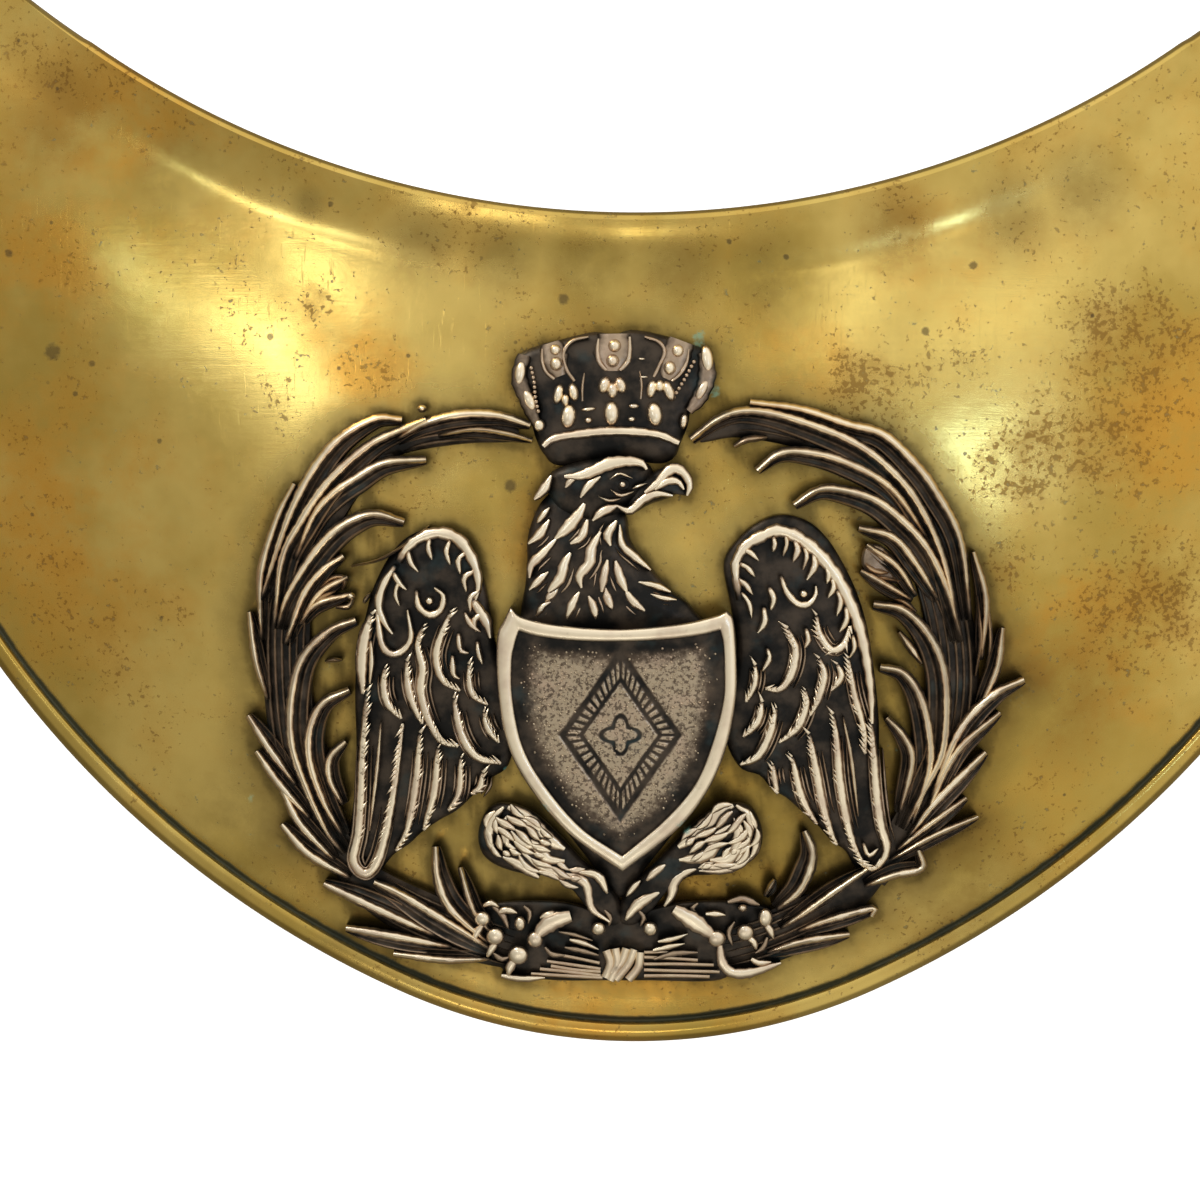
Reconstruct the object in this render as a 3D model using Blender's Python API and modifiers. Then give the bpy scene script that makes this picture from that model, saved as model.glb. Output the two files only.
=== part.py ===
"""A brass gorget with a silver badge, lying on its back with its face up.

The plate is a crescent of sheet brass, bent round the neck and domed.
The badge has four pieces: a wreath of two branches, an eagle, its crown and a shield.
+X is the wearer's left, +Y points to the neck opening and +Z out of the face.
Tables of the badge give places in badge units, from the middle of the badge.
"""

import math

import bmesh
import bpy
from mathutils import Vector
from mathutils.geometry import intersect_sphere_sphere_2d

# Plate outline, in metres
NECK_RADIUS = 0.0745
PLATE_HEIGHT = 0.0644
BOTTOM_RADIUS = 0.0455
FLANK_RADIUS = 0.0790
FLANK_TURN = math.radians(24)
HORN_RADIUS = 0.0048
HORN_BLUNT = math.radians(14)
SHEET_THICKNESS = 0.0010

# Plate form
WRAP_RADIUS = 0.120
LEAN_RADIUS = 0.200
HORN_DROP = 0.0045
BELLY_RISE = 0.0032
FLANGE_WIDTH = 0.0055
FLANGE_RISE = 0.0024
EDGE_FADE_WIDTH = 0.022
BEAD_WIDTH = 0.0015
BEAD_RISE = 0.0006
GROOVE_WIDTH = 0.0005
GROOVE_DEPTH = 0.00025
CORD_HOLE_RADIUS = 0.0015
DRILL_LENGTH = 0.008

# Badge
BADGE_WIDTH = 0.0609
BADGE_DROP = 0.0342
FIT_GAP = 0.0003
SLAB_THICKNESS = 0.0008
SHIELD_THICKNESS = 0.0011
SHIELD_FRAME_RISE = 0.0005
SHIELD_FRAME_WIDTH = 0.0012
CROWN_THICKNESS = 0.0010
UNDERCUT = 0.0004
BLADE_SINK = 0.00025
TOE_FLOOR = 0.0012
TOE_BALL = 0.00133
ANKLE_SIZE = 0.00219
PEARL_SIZE = 0.00078
SEAT_DEPTH = 0.0001
TOP_ROOM = 0.0060
ROOM_DEPTH = 0.0016
UNDER_BLOCK = 0.085

# Section of a leaf, feather or lock, as shares of its length and of its rise
TAPER_START = 0.22
TAPER_SPAN = 0.70
TAPER_POWER = 0.8
ROOT_RISE = 0.35
SHOULDER_RISE = 0.55

# Mesh steps
PLATE_STATIONS = 20
BELLY_ROWS = 4
FLANGE_ROWS = (0.0, 0.2, 0.5, 0.8, 1.2)
BEAD_ROWS = (1.0, 0.8, 0.5, 0.2, 0.0)
EDGE_ROWS_SHARE = 0.85
SLOPE_STEPS = 40
DRILL_SIDES = 16
BALL_SIDES = 6
BALL_RINGS = 4
BLADE_STEP = 0.0042
CUT_STEP = 0.0075
FOOT_STEP = 0.000004
SHORTEST_EDGE = 0.00001
SHARP_ANGLE = math.radians(35)

BADGE_UNITS_ACROSS = 78
UNIT = BADGE_WIDTH / BADGE_UNITS_ACROSS
NECK_CENTRE = Vector((0, NECK_RADIUS))
BOTTOM_CENTRE = Vector((0, BOTTOM_RADIUS - PLATE_HEIGHT))
FLANK_REACH = FLANK_RADIUS - BOTTOM_RADIUS
# The right flank's arc has its centre across the axis, so that it runs on from the bottom arc
FLANK_CENTRE = BOTTOM_CENTRE + FLANK_REACH * Vector((-math.sin(FLANK_TURN), math.cos(FLANK_TURN)))

# Columns of the leaves, ties, feathers, strokes, toes and arches below:
# u and v of the ridge's root, middle and tip, then the width and the rise, all in badge units
# Leaves of the two branches
LEFT_LEAVES = [
    (-2.8, -30.5, -13.8, -29.5, -23.3, -25.5, 3.0, 1.2),
    (-21.8, -26.5, -32.0, -17.0, -36.8, -4.0, 3.4, 1.2),
    (-36.3, -6.0, -36.6, 5.0, -33.6, 14.0, 3.4, 1.2),
    (-37.6, 6.0, -33.8, 16.5, -23.8, 24.1, 2.8, 1.5),
    (-36.5, 2.0, -32.0, 16.3, -21.0, 24.1, 3.0, 2.0),
    (-33.8, 10.0, -29.3, 17.1, -21.0, 19.7, 3.2, 1.7),
    (-35.7, 2.0, -31.3, 11.5, -23.2, 13.9, 3.2, 1.9),
    (-35.0, 1.0, -33.1, 7.0, -29.5, 10.4, 2.0, 1.6),
    (-34.6, 1.0, -31.6, 5.2, -28.5, 6.8, 2.2, 1.8),
    (-32.8, 5.0, -30.8, 7.5, -29.0, 8.3, 1.6, 1.5),
    (-29.8, -20.0, -34.4, -6.5, -28.1, 4.1, 3.2, 2.0),
    (-30.4, -18.6, -32.6, -9.2, -28.9, -2.9, 2.6, 1.8),
    (-29.8, -19.0, -30.7, -12.5, -29.3, -8.2, 1.8, 1.5),
    (-34.3, -12.5, -37.2, -8.6, -39.0, -5.6, 2.2, 1.3),
    (-32.8, -15.8, -36.0, -11.8, -38.2, -9.2, 2.2, 1.3),
    (-31.0, -18.8, -33.8, -15.6, -35.7, -13.0, 2.0, 1.2),
    (-29.6, -20.8, -33.3, -18.4, -35.7, -16.6, 2.4, 1.3),
    (-36.4, -6.0, -38.2, 0.0, -38.8, 4.8, 1.8, 1.3),
    (-37.6, 4.0, -37.2, 10.5, -34.8, 16.0, 1.6, 1.2),
    (-19.8, -27.5, -25.3, -24.5, -31.6, -22.7, 3.2, 1.4),
    (-18.8, -28.5, -23.8, -27.4, -29.3, -27.0, 2.2, 1.3),
    (-14.8, -30.2, -19.3, -29.7, -24.5, -29.7, 2.0, 1.3),
    (-14.8, -29.0, -20.1, -23.6, -20.1, -18.9, 2.6, 1.7),
    (-14.0, -28.6, -17.0, -24.0, -17.8, -20.9, 1.6, 1.4),
    (-25.8, 22.9, -17.3, 24.4, -10.4, 22.9, 2.2, 1.6),
]
RIGHT_LEAVES = [
    (0.2, -30.5, 11.2, -29.8, 21.2, -24.5, 3.0, 1.2),
    (20.2, -25.5, 29.2, -16.5, 33.7, -4.0, 3.4, 1.2),
    (33.4, -6.0, 33.9, 5.0, 28.9, 16.0, 3.4, 1.2),
    (32.2, 0.0, 24.2, 19.9, 5.9, 22.0, 2.8, 2.0),
    (33.4, 3.0, 28.5, 18.4, 11.4, 25.7, 2.4, 1.5),
    (30.3, 9.0, 22.4, 19.0, 12.4, 19.0, 2.6, 1.7),
    (32.7, -3.0, 27.7, 13.0, 15.9, 15.7, 3.2, 1.9),
    (31.2, 3.0, 26.4, 11.3, 22.3, 13.1, 2.2, 1.6),
    (31.0, 0.0, 27.5, 7.5, 22.8, 11.6, 2.2, 1.8),
    (29.8, 4.0, 25.3, 7.0, 22.3, 9.0, 1.6, 1.5),
    (26.3, -19.6, 31.0, -4.8, 23.8, 5.7, 3.2, 2.0),
    (27.0, -18.0, 29.3, -7.5, 24.6, -0.7, 2.6, 1.8),
    (26.0, -18.6, 27.6, -10.5, 25.2, -5.8, 2.2, 1.6),
    (30.8, -12.0, 34.7, -4.3, 38.9, -1.8, 2.6, 1.6),
    (29.7, -14.6, 33.7, -8.0, 36.5, -5.2, 2.0, 1.4),
    (28.2, -17.4, 32.4, -12.0, 35.2, -9.2, 2.2, 1.5),
    (25.7, -20.6, 30.2, -16.2, 33.4, -13.9, 2.0, 1.4),
    (25.2, -21.0, 30.8, -17.9, 34.5, -15.6, 1.8, 1.4),
    (20.4, -25.0, 25.3, -22.3, 28.7, -20.6, 2.2, 1.4),
    (33.7, -5.0, 36.0, 0.0, 36.7, 3.2, 2.0, 1.2),
    (33.6, 1.0, 34.9, 6.0, 33.7, 10.8, 2.0, 1.2),
    (12.2, -29.5, 18.0, -24.7, 23.0, -21.2, 2.4, 1.6),
    (12.2, -29.0, 16.6, -22.7, 17.0, -17.5, 2.6, 1.7),
    (11.8, -28.6, 13.8, -24.5, 13.9, -21.6, 1.6, 1.4),
    (13.2, -29.6, 19.7, -26.7, 23.9, -25.5, 2.0, 1.3),
    (11.0, -30.6, 17.0, -29.2, 21.6, -27.6, 1.8, 1.3),
]
# The stems' cut ends at the tie, and the tie itself
TIE_ROWS = [
    (-11.5, -30.6, -2.0, -30.1, 8.0, -30.3, 1.0, 1.7),
    (-12.0, -31.5, -2.0, -31.0, 9.2, -31.2, 1.0, 1.6),
    (-11.0, -32.2, -2.0, -31.9, 8.6, -32.1, 1.0, 1.4),
    (-2.9, -29.2, -2.7, -30.8, -3.1, -32.5, 1.8, 2.1),
    (-0.7, -29.2, -0.9, -30.8, -0.5, -32.5, 1.8, 2.1),
]

# The left wing: its outline, then its feathers
WING_OUTLINE = [
    (-26.8, 3.0), (-25.0, 9.3), (-22.6, 12.2), (-19.8, 12.9), (-17.0, 11.4),
    (-15.5, 7.6), (-14.6, 3.0), (-11.5, 0.0), (-11.5, -10.6), (-13.6, -10.7),
    (-15.8, -12.8), (-18.4, -14.4), (-21.2, -16.7), (-24.0, -18.8), (-25.6, -20.4),
    (-27.2, -21.7), (-28.8, -20.8), (-28.8, -19.0), (-27.9, -14.0), (-27.6, -3.0),
]
WING_FEATHERS = [
    (-26.4, 3.0, -24.4, 10.0, -19.6, 12.5, 1.5, 2.1),
    (-20.6, 12.6, -16.6, 11.2, -15.5, 6.0, 1.5, 2.1),
    (-26.6, 4.0, -27.2, -5.0, -27.6, -14.0, 1.7, 2.0),
    (-27.2, -6.0, -27.4, -14.0, -27.2, -20.9, 2.8, 1.6),
    (-24.0, -5.0, -24.4, -11.0, -26.4, -19.8, 1.7, 2.0),
    (-22.0, -6.0, -22.2, -11.6, -24.0, -17.9, 1.7, 2.0),
    (-20.0, -7.4, -20.3, -11.4, -21.2, -15.9, 1.7, 2.0),
    (-17.8, -8.4, -17.7, -11.6, -18.8, -14.0, 1.7, 1.9),
    (-15.9, -8.8, -15.4, -10.8, -16.4, -12.5, 1.7, 1.8),
    (-25.8, 0.6, -25.4, -3.6, -23.6, -5.8, 1.5, 2.1),
    (-23.2, 0.6, -22.9, -3.0, -21.6, -6.2, 1.5, 2.1),
    (-21.8, 2.4, -21.2, -4.4, -18.2, -7.8, 1.6, 2.2),
    (-18.6, 4.8, -19.7, 0.0, -17.6, -2.8, 1.6, 2.2),
    (-18.4, -3.6, -17.0, -7.8, -13.8, -9.9, 1.6, 2.1),
    (-16.8, 0.0, -16.4, -3.0, -14.8, -4.4, 1.5, 2.1),
    (-26.2, 4.4, -24.4, 1.0, -22.6, 3.6, 1.5, 2.2),
    (-22.2, 6.8, -20.8, 4.5, -19.2, 6.6, 1.3, 2.2),
]
WING_AXIS = -1.7
WING_LEAN = 0.08
WING_LEAN_FROM = -15.0

# The eagle's body behind the shield, with the neck and thighs
BODY_OUTLINE = [
    (-9.6, 16.4), (-7.6, 18.6), (2.2, 18.6), (2.6, 15.6), (-1.0, 14.6), (1.4, 9.1),
    (3.6, 7.2), (7.6, 5.6), (10.8, 0.0), (12.2, -9.0), (11.4, -13.2), (12.6, -16.4),
    (11.0, -20.4), (6.4, -22.6), (1.6, -25.6), (-1.0, -27.6), (-3.6, -25.6), (-8.4, -22.8),
    (-13.2, -19.6), (-15.4, -16.6), (-14.6, -14.4), (-12.4, -13.6), (-13.0, -9.0),
    (-12.4, 0.0), (-10.6, 5.4), (-10.8, 11.0),
]
BODY_STROKES = [
    (-8.4, 17.0, -4.4, 17.8, 1.8, 17.8, 4.4, 3.0),
    (-7.8, 18.6, -3.0, 19.9, 1.0, 19.3, 1.5, 3.4),
    (0.8, 18.2, 3.4, 18.8, 5.0, 16.5, 2.0, 2.8),
    (-3.0, 14.9, 0.6, 15.6, 3.6, 16.6, 1.5, 2.4),
    (-8.8, 15.6, -9.6, 11.6, -10.2, 6.6, 1.8, 2.4),
    (-7.4, 14.8, -7.9, 10.6, -8.4, 6.0, 1.8, 2.7),
    (-5.6, 14.4, -6.0, 10.0, -6.2, 5.2, 1.8, 2.8),
    (-3.8, 14.2, -4.0, 9.6, -3.8, 5.0, 1.8, 2.8),
    (-2.4, 13.6, -1.8, 9.4, -0.8, 5.0, 1.8, 2.6),
    (-1.2, 11.4, 0.6, 8.0, 3.2, 5.4, 1.6, 2.3),
    (-0.2, 9.4, 2.8, 7.0, 6.4, 5.4, 1.4, 1.9),
    (-14.0, -16.4, -9.0, -19.6, -2.6, -25.8, 3.4, 2.6),
    (-13.2, -18.2, -8.4, -21.2, -3.0, -25.6, 1.6, 2.6),
    (-12.6, -15.0, -8.6, -17.2, -4.6, -20.8, 1.6, 2.8),
    (11.4, -15.6, 6.6, -19.0, 0.0, -25.8, 3.4, 2.6),
    (11.6, -18.0, 6.6, -21.2, 0.8, -25.6, 1.6, 2.6),
    (9.6, -14.4, 6.2, -17.0, 2.6, -20.8, 1.6, 2.8),
]
# Toes that grip the tied stems from above, each with a ball at its end
TOE_ROWS = [
    (-2.2, -26.6, -8.4, -26.0, -15.4, -26.4, 1.6, 2.5),
    (-2.4, -27.0, -9.2, -27.2, -14.0, -28.0, 1.6, 2.7),
    (-2.8, -27.2, -8.0, -27.6, -11.6, -30.2, 1.6, 2.7),
    (0.2, -26.6, 6.0, -25.8, 12.8, -26.4, 1.6, 2.5),
    (0.6, -27.0, 6.4, -26.8, 10.6, -28.0, 1.6, 2.7),
    (0.8, -27.2, 5.0, -27.6, 8.2, -28.6, 1.6, 2.7),
]
ANKLES = [(-3.0, -25.9), (1.0, -25.9)]
# Where the stems run under the toes: left, right, low and high
TOE_ROOMS = [(-17.2, -4.3, -31.4, -24.2), (0.6, 14.8, -31.4, -24.2)]

CROWN_OUTLINE = [
    (-9.6, 23.6), (-12.4, 29.6), (-10.6, 31.9), (-7.0, 32.4), (-2.3, 32.9), (2.4, 32.5),
    (5.8, 31.7), (7.6, 29.4), (4.8, 23.6), (4.6, 20.9), (-2.4, 21.7), (-9.4, 20.9),
]
CROWN_ARCHES = [
    (-9.0, 24.0, -10.4, 27.6, -11.2, 30.4, 1.5, 1.8),
    (-7.1, 24.2, -8.0, 28.2, -8.2, 31.6, 1.8, 2.2),
    (-2.5, 24.4, -2.4, 28.6, -2.3, 32.2, 2.2, 2.4),
    (2.0, 24.2, 3.2, 28.2, 4.0, 31.4, 1.8, 2.2),
    (4.4, 24.0, 5.6, 27.4, 6.4, 30.0, 1.5, 1.8),
]
CROWN_BAND = (-9.6, 22.3, -2.4, 23.1, 4.6, 22.3, 2.0, 2.3)
CROWN_PEARLS = 4
FIRST_PEARL = 0.15
LAST_PEARL = 0.90

SHIELD_OUTLINE = [
    # Down the right side, from the middle of the top edge to the point
    (-1.9, 3.2), (3.5, 3.6), (9.0, 4.9), (9.9, 1.4), (9.7, -6.0),
    (7.4, -13.0), (3.4, -18.4), (-1.4, -21.2),
]
SHIELD_AXIS = -1.4

BRASS = ((0.62, 0.44, 0.12, 1.0), 0.30)
SILVER = ((0.55, 0.50, 0.45, 1.0), 0.35)


def clear_scene():
    """Remove every object of the scene."""
    for thing in list(bpy.data.objects):
        bpy.data.objects.remove(thing, do_unlink=True)


def metal(name, finish):
    """A plain metal with the piece's colour."""
    colour, roughness = finish
    material = bpy.data.materials.new(name)
    material.use_nodes = True
    shader = material.node_tree.nodes["Principled BSDF"]
    shader.inputs["Base Color"].default_value = colour
    shader.inputs["Metallic"].default_value = 1.0
    shader.inputs["Roughness"].default_value = roughness
    material.diffuse_color = colour
    return material


def direction(angle):
    """The unit vector at an angle from +X."""
    return Vector((math.cos(angle), math.sin(angle)))


def angle_of(vector):
    return math.atan2(vector.y, vector.x)


def right_paths():
    """The neck edge and the outer edge of the right half, each a list of arcs from the axis to the horn."""
    meet = intersect_sphere_sphere_2d(
        NECK_CENTRE, NECK_RADIUS + HORN_RADIUS, FLANK_CENTRE, FLANK_RADIUS - HORN_RADIUS)
    horn = max(meet, key=lambda point: point.x)
    neck_turn = angle_of(horn - NECK_CENTRE)
    flank_turn = angle_of(horn - FLANK_CENTRE)
    back_to_neck = angle_of(NECK_CENTRE - horn)
    nose = (back_to_neck + flank_turn) / 2
    neck = [
        (NECK_CENTRE, NECK_RADIUS, -math.pi / 2, neck_turn),
        (horn, HORN_RADIUS, back_to_neck, nose + HORN_BLUNT),
    ]
    outer = [
        (BOTTOM_CENTRE, BOTTOM_RADIUS, -math.pi / 2, FLANK_TURN - math.pi / 2),
        (FLANK_CENTRE, FLANK_RADIUS, FLANK_TURN - math.pi / 2, flank_turn),
        (horn, HORN_RADIUS, flank_turn, nose - HORN_BLUNT),
    ]
    return neck, outer, horn


def along(arcs, share):
    """The point at a share of the length of a path of arcs."""
    lengths = [radius * abs(end - start) for _, radius, start, end in arcs]
    left = share * sum(lengths)
    for (centre, radius, start, end), length in zip(arcs, lengths):
        if left <= length:
            return centre + radius * direction(start + (end - start) * left / length)
        left -= length
    centre, radius, _, end = arcs[-1]
    return centre + radius * direction(end)


def edge_distances(x, y):
    """How far a point of the plate lies from the neck edge and from the outer edge."""
    point = Vector((abs(x), y))
    from_neck = (point - NECK_CENTRE).length - NECK_RADIUS
    below = point - BOTTOM_CENTRE
    if below.y < 0 and math.atan2(below.x, -below.y) < FLANK_TURN:
        from_outer = BOTTOM_RADIUS - below.length
    else:
        from_outer = FLANK_RADIUS - (point - FLANK_CENTRE).length
    return max(from_neck, 0.0), max(from_outer, 0.0)


def bent_sheet(x, y):
    """The sheet's height before it is tipped to its rest: wrapped round the neck, horns bent further."""
    height = -x * x / (2 * WRAP_RADIUS) - y * y / (2 * LEAN_RADIUS)
    _, _, horn = right_paths()
    bend = max(y, 0.0) / (horn.y + HORN_RADIUS)
    return height - HORN_DROP * bend * bend


def rest_slope():
    """The slope that lets the plate rest on the middle of its lower edge and on both sides."""
    _, outer, _ = right_paths()
    low = along(outer, 0.0)
    low_height = bent_sheet(low.x, low.y)
    slopes = []
    for step in range(1, SLOPE_STEPS + 1):
        point = along(outer, step / SLOPE_STEPS)
        if point.y > low.y + BOTTOM_RADIUS / 2:
            slopes.append((low_height - bent_sheet(point.x, point.y)) / (point.y - low.y))
    return max(slopes)


def smooth_sheet(x, y, slope):
    """The face without its flange, bead and groove."""
    from_neck, from_outer = edge_distances(x, y)
    width = from_neck + from_outer
    share = from_neck / width if width else 0.0
    belly = 4 * BELLY_RISE * share * (1 - share) * width / PLATE_HEIGHT
    return bent_sheet(x, y) + slope * y + belly


def face_height(x, y, slope):
    """The height of the plate's face over the base plane of its curves."""
    from_neck, from_outer = edge_distances(x, y)
    edge = 0.0
    if from_neck < FLANGE_WIDTH:
        edge += FLANGE_RISE * (1 - from_neck / FLANGE_WIDTH) ** 2
    if from_outer < BEAD_WIDTH:
        across = 2 * from_outer / BEAD_WIDTH - 1
        edge += BEAD_RISE * math.sqrt(max(1 - across * across, 0.0))
    elif from_outer < BEAD_WIDTH + GROOVE_WIDTH:
        across = (from_outer - BEAD_WIDTH) / GROOVE_WIDTH
        edge -= GROOVE_DEPTH * math.sin(math.pi * across)
    # Flange, bead and groove die away where the sheet narrows to the horns
    fade = min((from_neck + from_outer) / EDGE_FADE_WIDTH, 1.0)
    return smooth_sheet(x, y, slope) + edge * fade * fade


def plate_rows(width):
    """Shares from the neck edge to the outer edge where the sheet has a row of points."""
    neck_side = [share * FLANGE_WIDTH for share in FLANGE_ROWS]
    outer_side = [BEAD_WIDTH + 1.2 * GROOVE_WIDTH, BEAD_WIDTH + GROOVE_WIDTH / 2]
    outer_side += [share * BEAD_WIDTH for share in BEAD_ROWS]
    # Where the sheet is narrow the edges' rows draw together, so that no two of them cross
    squeeze = min(1.0, EDGE_ROWS_SHARE * width / (neck_side[-1] + outer_side[0]))
    first = squeeze * neck_side[-1] / width
    last = 1 - squeeze * outer_side[0] / width
    rows = [squeeze * distance / width for distance in neck_side]
    rows += [first + (last - first) * row / BELLY_ROWS for row in range(1, BELLY_ROWS)]
    rows += [1 - squeeze * distance / width for distance in outer_side]
    return rows


def make_plate(collection, slope):
    """The brass sheet: half of it is a grid laid on the crescent, and a mirror makes the rest."""
    neck, outer, horn = right_paths()
    row_count = len(plate_rows(PLATE_HEIGHT))
    sheet = bmesh.new()
    bmesh.ops.create_grid(sheet, x_segments=PLATE_STATIONS, y_segments=row_count - 1, size=0.5)
    for point in sheet.verts:
        share = point.co.x + 0.5
        row = round((point.co.y + 0.5) * (row_count - 1))
        inner = along(neck, share)
        rim = along(outer, share)
        rows = plate_rows((rim - inner).length)
        place = inner.lerp(rim, rows[row])
        point.co = Vector((place.x, place.y, face_height(place.x, place.y, slope)))
    # The grid's rows run down from the neck edge, so its faces look down until they are turned
    bmesh.ops.reverse_faces(sheet, faces=sheet.faces)
    mesh = bpy.data.meshes.new("plate")
    sheet.to_mesh(mesh)
    sheet.free()
    mesh.shade_smooth()
    plate = bpy.data.objects.new("plate", mesh)
    collection.objects.link(plate)
    mirror = plate.modifiers.new("Mirror", "MIRROR")
    mirror.merge_threshold = 0.00005
    wall = plate.modifiers.new("Solidify", "SOLIDIFY")
    wall.thickness = SHEET_THICKNESS
    wall.offset = -1
    mesh.materials.append(metal("brass", BRASS))
    return plate, horn


def cut_cord_holes(plate, horn, cutters, slope):
    """A plain round hole through each horn, for the cord round the neck."""
    for side in (-1, 1):
        height = face_height(horn.x, horn.y, slope)
        bpy.ops.mesh.primitive_cylinder_add(
            vertices=DRILL_SIDES, radius=CORD_HOLE_RADIUS, depth=DRILL_LENGTH,
            location=(side * horn.x, horn.y, height))
        drill = bpy.context.object
        drill.name = "cord_hole_cutter"
        for owner in list(drill.users_collection):
            owner.objects.unlink(drill)
        cutters.objects.link(drill)
        drill.hide_render = True
        drill.display_type = "WIRE"
        cut = plate.modifiers.new("Cord hole", "BOOLEAN")
        cut.operation = "DIFFERENCE"
        cut.object = drill


def ridge_point(row, share):
    """A point of the smooth curve through a row's root, middle and tip."""
    root, middle, tip = Vector(row[0:2]), Vector(row[2:4]), Vector(row[4:6])
    at_root = 2 * (share - 0.5) * (share - 1)
    at_middle = 4 * share * (1 - share)
    at_tip = 2 * share * (share - 0.5)
    return (root * at_root + middle * at_middle + tip * at_tip) * UNIT


def taper_at(share):
    """How wide a blade is at a share of its length: narrow at the root, pointed at the tip."""
    return math.sin(math.pi * (TAPER_START + TAPER_SPAN * share)) ** TAPER_POWER


def crest_at(row, share, floor=0.0):
    """The height of a blade's ridge."""
    return floor + (row[7] * UNIT - floor) * (ROOT_RISE + (1 - ROOT_RISE) * taper_at(share))


def blade(row, foot, floor=0.0, walled=True):
    """One leaf, feather or lock: a loft with a ridge along its middle, whose rise starts at the floor.

    A walled blade has upright sides. One that lies on a slab slopes from its ridge into the slab.
    """
    length = (ridge_point(row, 0.5) - ridge_point(row, 0)).length + (
        ridge_point(row, 1) - ridge_point(row, 0.5)).length
    steps = max(2, round(length / BLADE_STEP))
    form = bmesh.new()
    rings = []
    for step in range(steps + 1):
        share = step / steps
        here = ridge_point(row, share)
        ahead = ridge_point(row, share + 0.01) - ridge_point(row, share - 0.01)
        side = Vector((-ahead.y, ahead.x)).normalized()
        half = side * row[6] * UNIT * taper_at(share) / 2
        crest = crest_at(row, share, floor)
        shoulder = floor + (crest - floor) * SHOULDER_RISE
        section = [(-1, foot), (-1, shoulder), (0, crest), (1, shoulder), (1, foot)]
        if not walled:
            section = [(-1, foot), (0, crest), (1, foot)]
        rings.append([form.verts.new((*(here + half * across), height)) for across, height in section])
    for ring, following in zip(rings, rings[1:]):
        for corner in range(len(ring)):
            after = (corner + 1) % len(ring)
            form.faces.new((ring[corner], ring[after], following[after], following[corner]))
    form.faces.new(reversed(rings[0]))
    form.faces.new(rings[-1])
    bmesh.ops.recalc_face_normals(form, faces=form.faces)
    return as_object(form, "blade")


def blades(rows, foot=-UNDERCUT, walled=True):
    """The blades of a table, each with its foot a little lower than the one before."""
    return [blade(row, foot - FOOT_STEP * number, walled=walled) for number, row in enumerate(rows)]


def as_object(form, name):
    """A new object with the form's mesh, not yet in any collection."""
    mesh = bpy.data.meshes.new(name)
    form.to_mesh(mesh)
    form.free()
    return bpy.data.objects.new(name, mesh)


def slab(outline, bottom, top, name="slab"):
    """A flat outline given a thickness."""
    curve = bpy.data.curves.new(name, "CURVE")
    curve.dimensions = "2D"
    curve.fill_mode = "BOTH"
    curve.extrude = (top - bottom) / 2
    line = curve.splines.new("POLY")
    line.points.add(len(outline) - 1)
    for point, (u, v) in zip(line.points, outline):
        point.co = (u * UNIT, v * UNIT, 0, 1)
    line.use_cyclic_u = True
    shape = bpy.data.objects.new(name, curve)
    bpy.context.scene.collection.objects.link(shape)
    seen = shape.evaluated_get(bpy.context.evaluated_depsgraph_get())
    form = bmesh.new()
    form.from_mesh(bpy.data.meshes.new_from_object(seen))
    bpy.data.objects.remove(shape)
    bmesh.ops.remove_doubles(form, verts=form.verts, dist=0.000001)
    bmesh.ops.translate(form, verts=form.verts, vec=(0, 0, (top + bottom) / 2))
    bmesh.ops.recalc_face_normals(form, faces=form.faces)
    cut_in_steps(form)
    return as_object(form, name)


def ball(u, v, height, size):
    """A small ball, such as a pearl or a claw's knuckle, with its middle at a height."""
    form = bmesh.new()
    bmesh.ops.create_uvsphere(form, u_segments=BALL_SIDES, v_segments=BALL_RINGS, radius=size / 2)
    bmesh.ops.translate(form, verts=form.verts, vec=(u * UNIT, v * UNIT, height))
    return as_object(form, "ball")


def fuse(name, shapes, cutters=()):
    """Join overlapping shapes into one solid, and take the cutters' room out of it."""
    shapes_group = bpy.data.collections.new(name + " shapes")
    bpy.context.scene.collection.children.link(shapes_group)
    for shape in shapes[1:]:
        shapes_group.objects.link(shape)
    body = shapes[0]
    bpy.context.scene.collection.objects.link(body)
    union = body.modifiers.new("Union", "BOOLEAN")
    union.operation = "UNION"
    union.operand_type = "COLLECTION"
    union.collection = shapes_group
    for cutter in cutters:
        bpy.context.scene.collection.objects.link(cutter)
        cut = body.modifiers.new("Room", "BOOLEAN")
        cut.operation = "DIFFERENCE"
        cut.object = cutter
    seen = body.evaluated_get(bpy.context.evaluated_depsgraph_get())
    form = bmesh.new()
    form.from_mesh(bpy.data.meshes.new_from_object(seen))
    for shape in list(shapes) + list(cutters):
        bpy.data.objects.remove(shape)
    bpy.data.collections.remove(shapes_group)
    bmesh.ops.triangulate(form, faces=form.faces)
    bmesh.ops.dissolve_degenerate(form, dist=SHORTEST_EDGE, edges=form.edges)
    return form


def cut_in_steps(form):
    """Cut the form along a grid, so that its wide faces can follow the bent plate."""
    for axis in (Vector((1, 0, 0)), Vector((0, 1, 0))):
        spread = [axis.dot(point.co) for point in form.verts]
        first = math.ceil(min(spread) / CUT_STEP)
        last = math.floor(max(spread) / CUT_STEP)
        for line in range(first, last + 1):
            geometry = form.verts[:] + form.edges[:] + form.faces[:]
            bmesh.ops.bisect_plane(form, geom=geometry, plane_co=axis * line * CUT_STEP, plane_no=axis)


def under_badge():
    """A block below the badge's base plane, which gives each piece one flat back."""
    form = bmesh.new()
    bmesh.ops.create_cube(form, size=UNDER_BLOCK)
    bmesh.ops.translate(form, verts=form.verts, vec=(0, 0, -UNDER_BLOCK / 2))
    cut_in_steps(form)
    return as_object(form, "under_badge")


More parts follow.
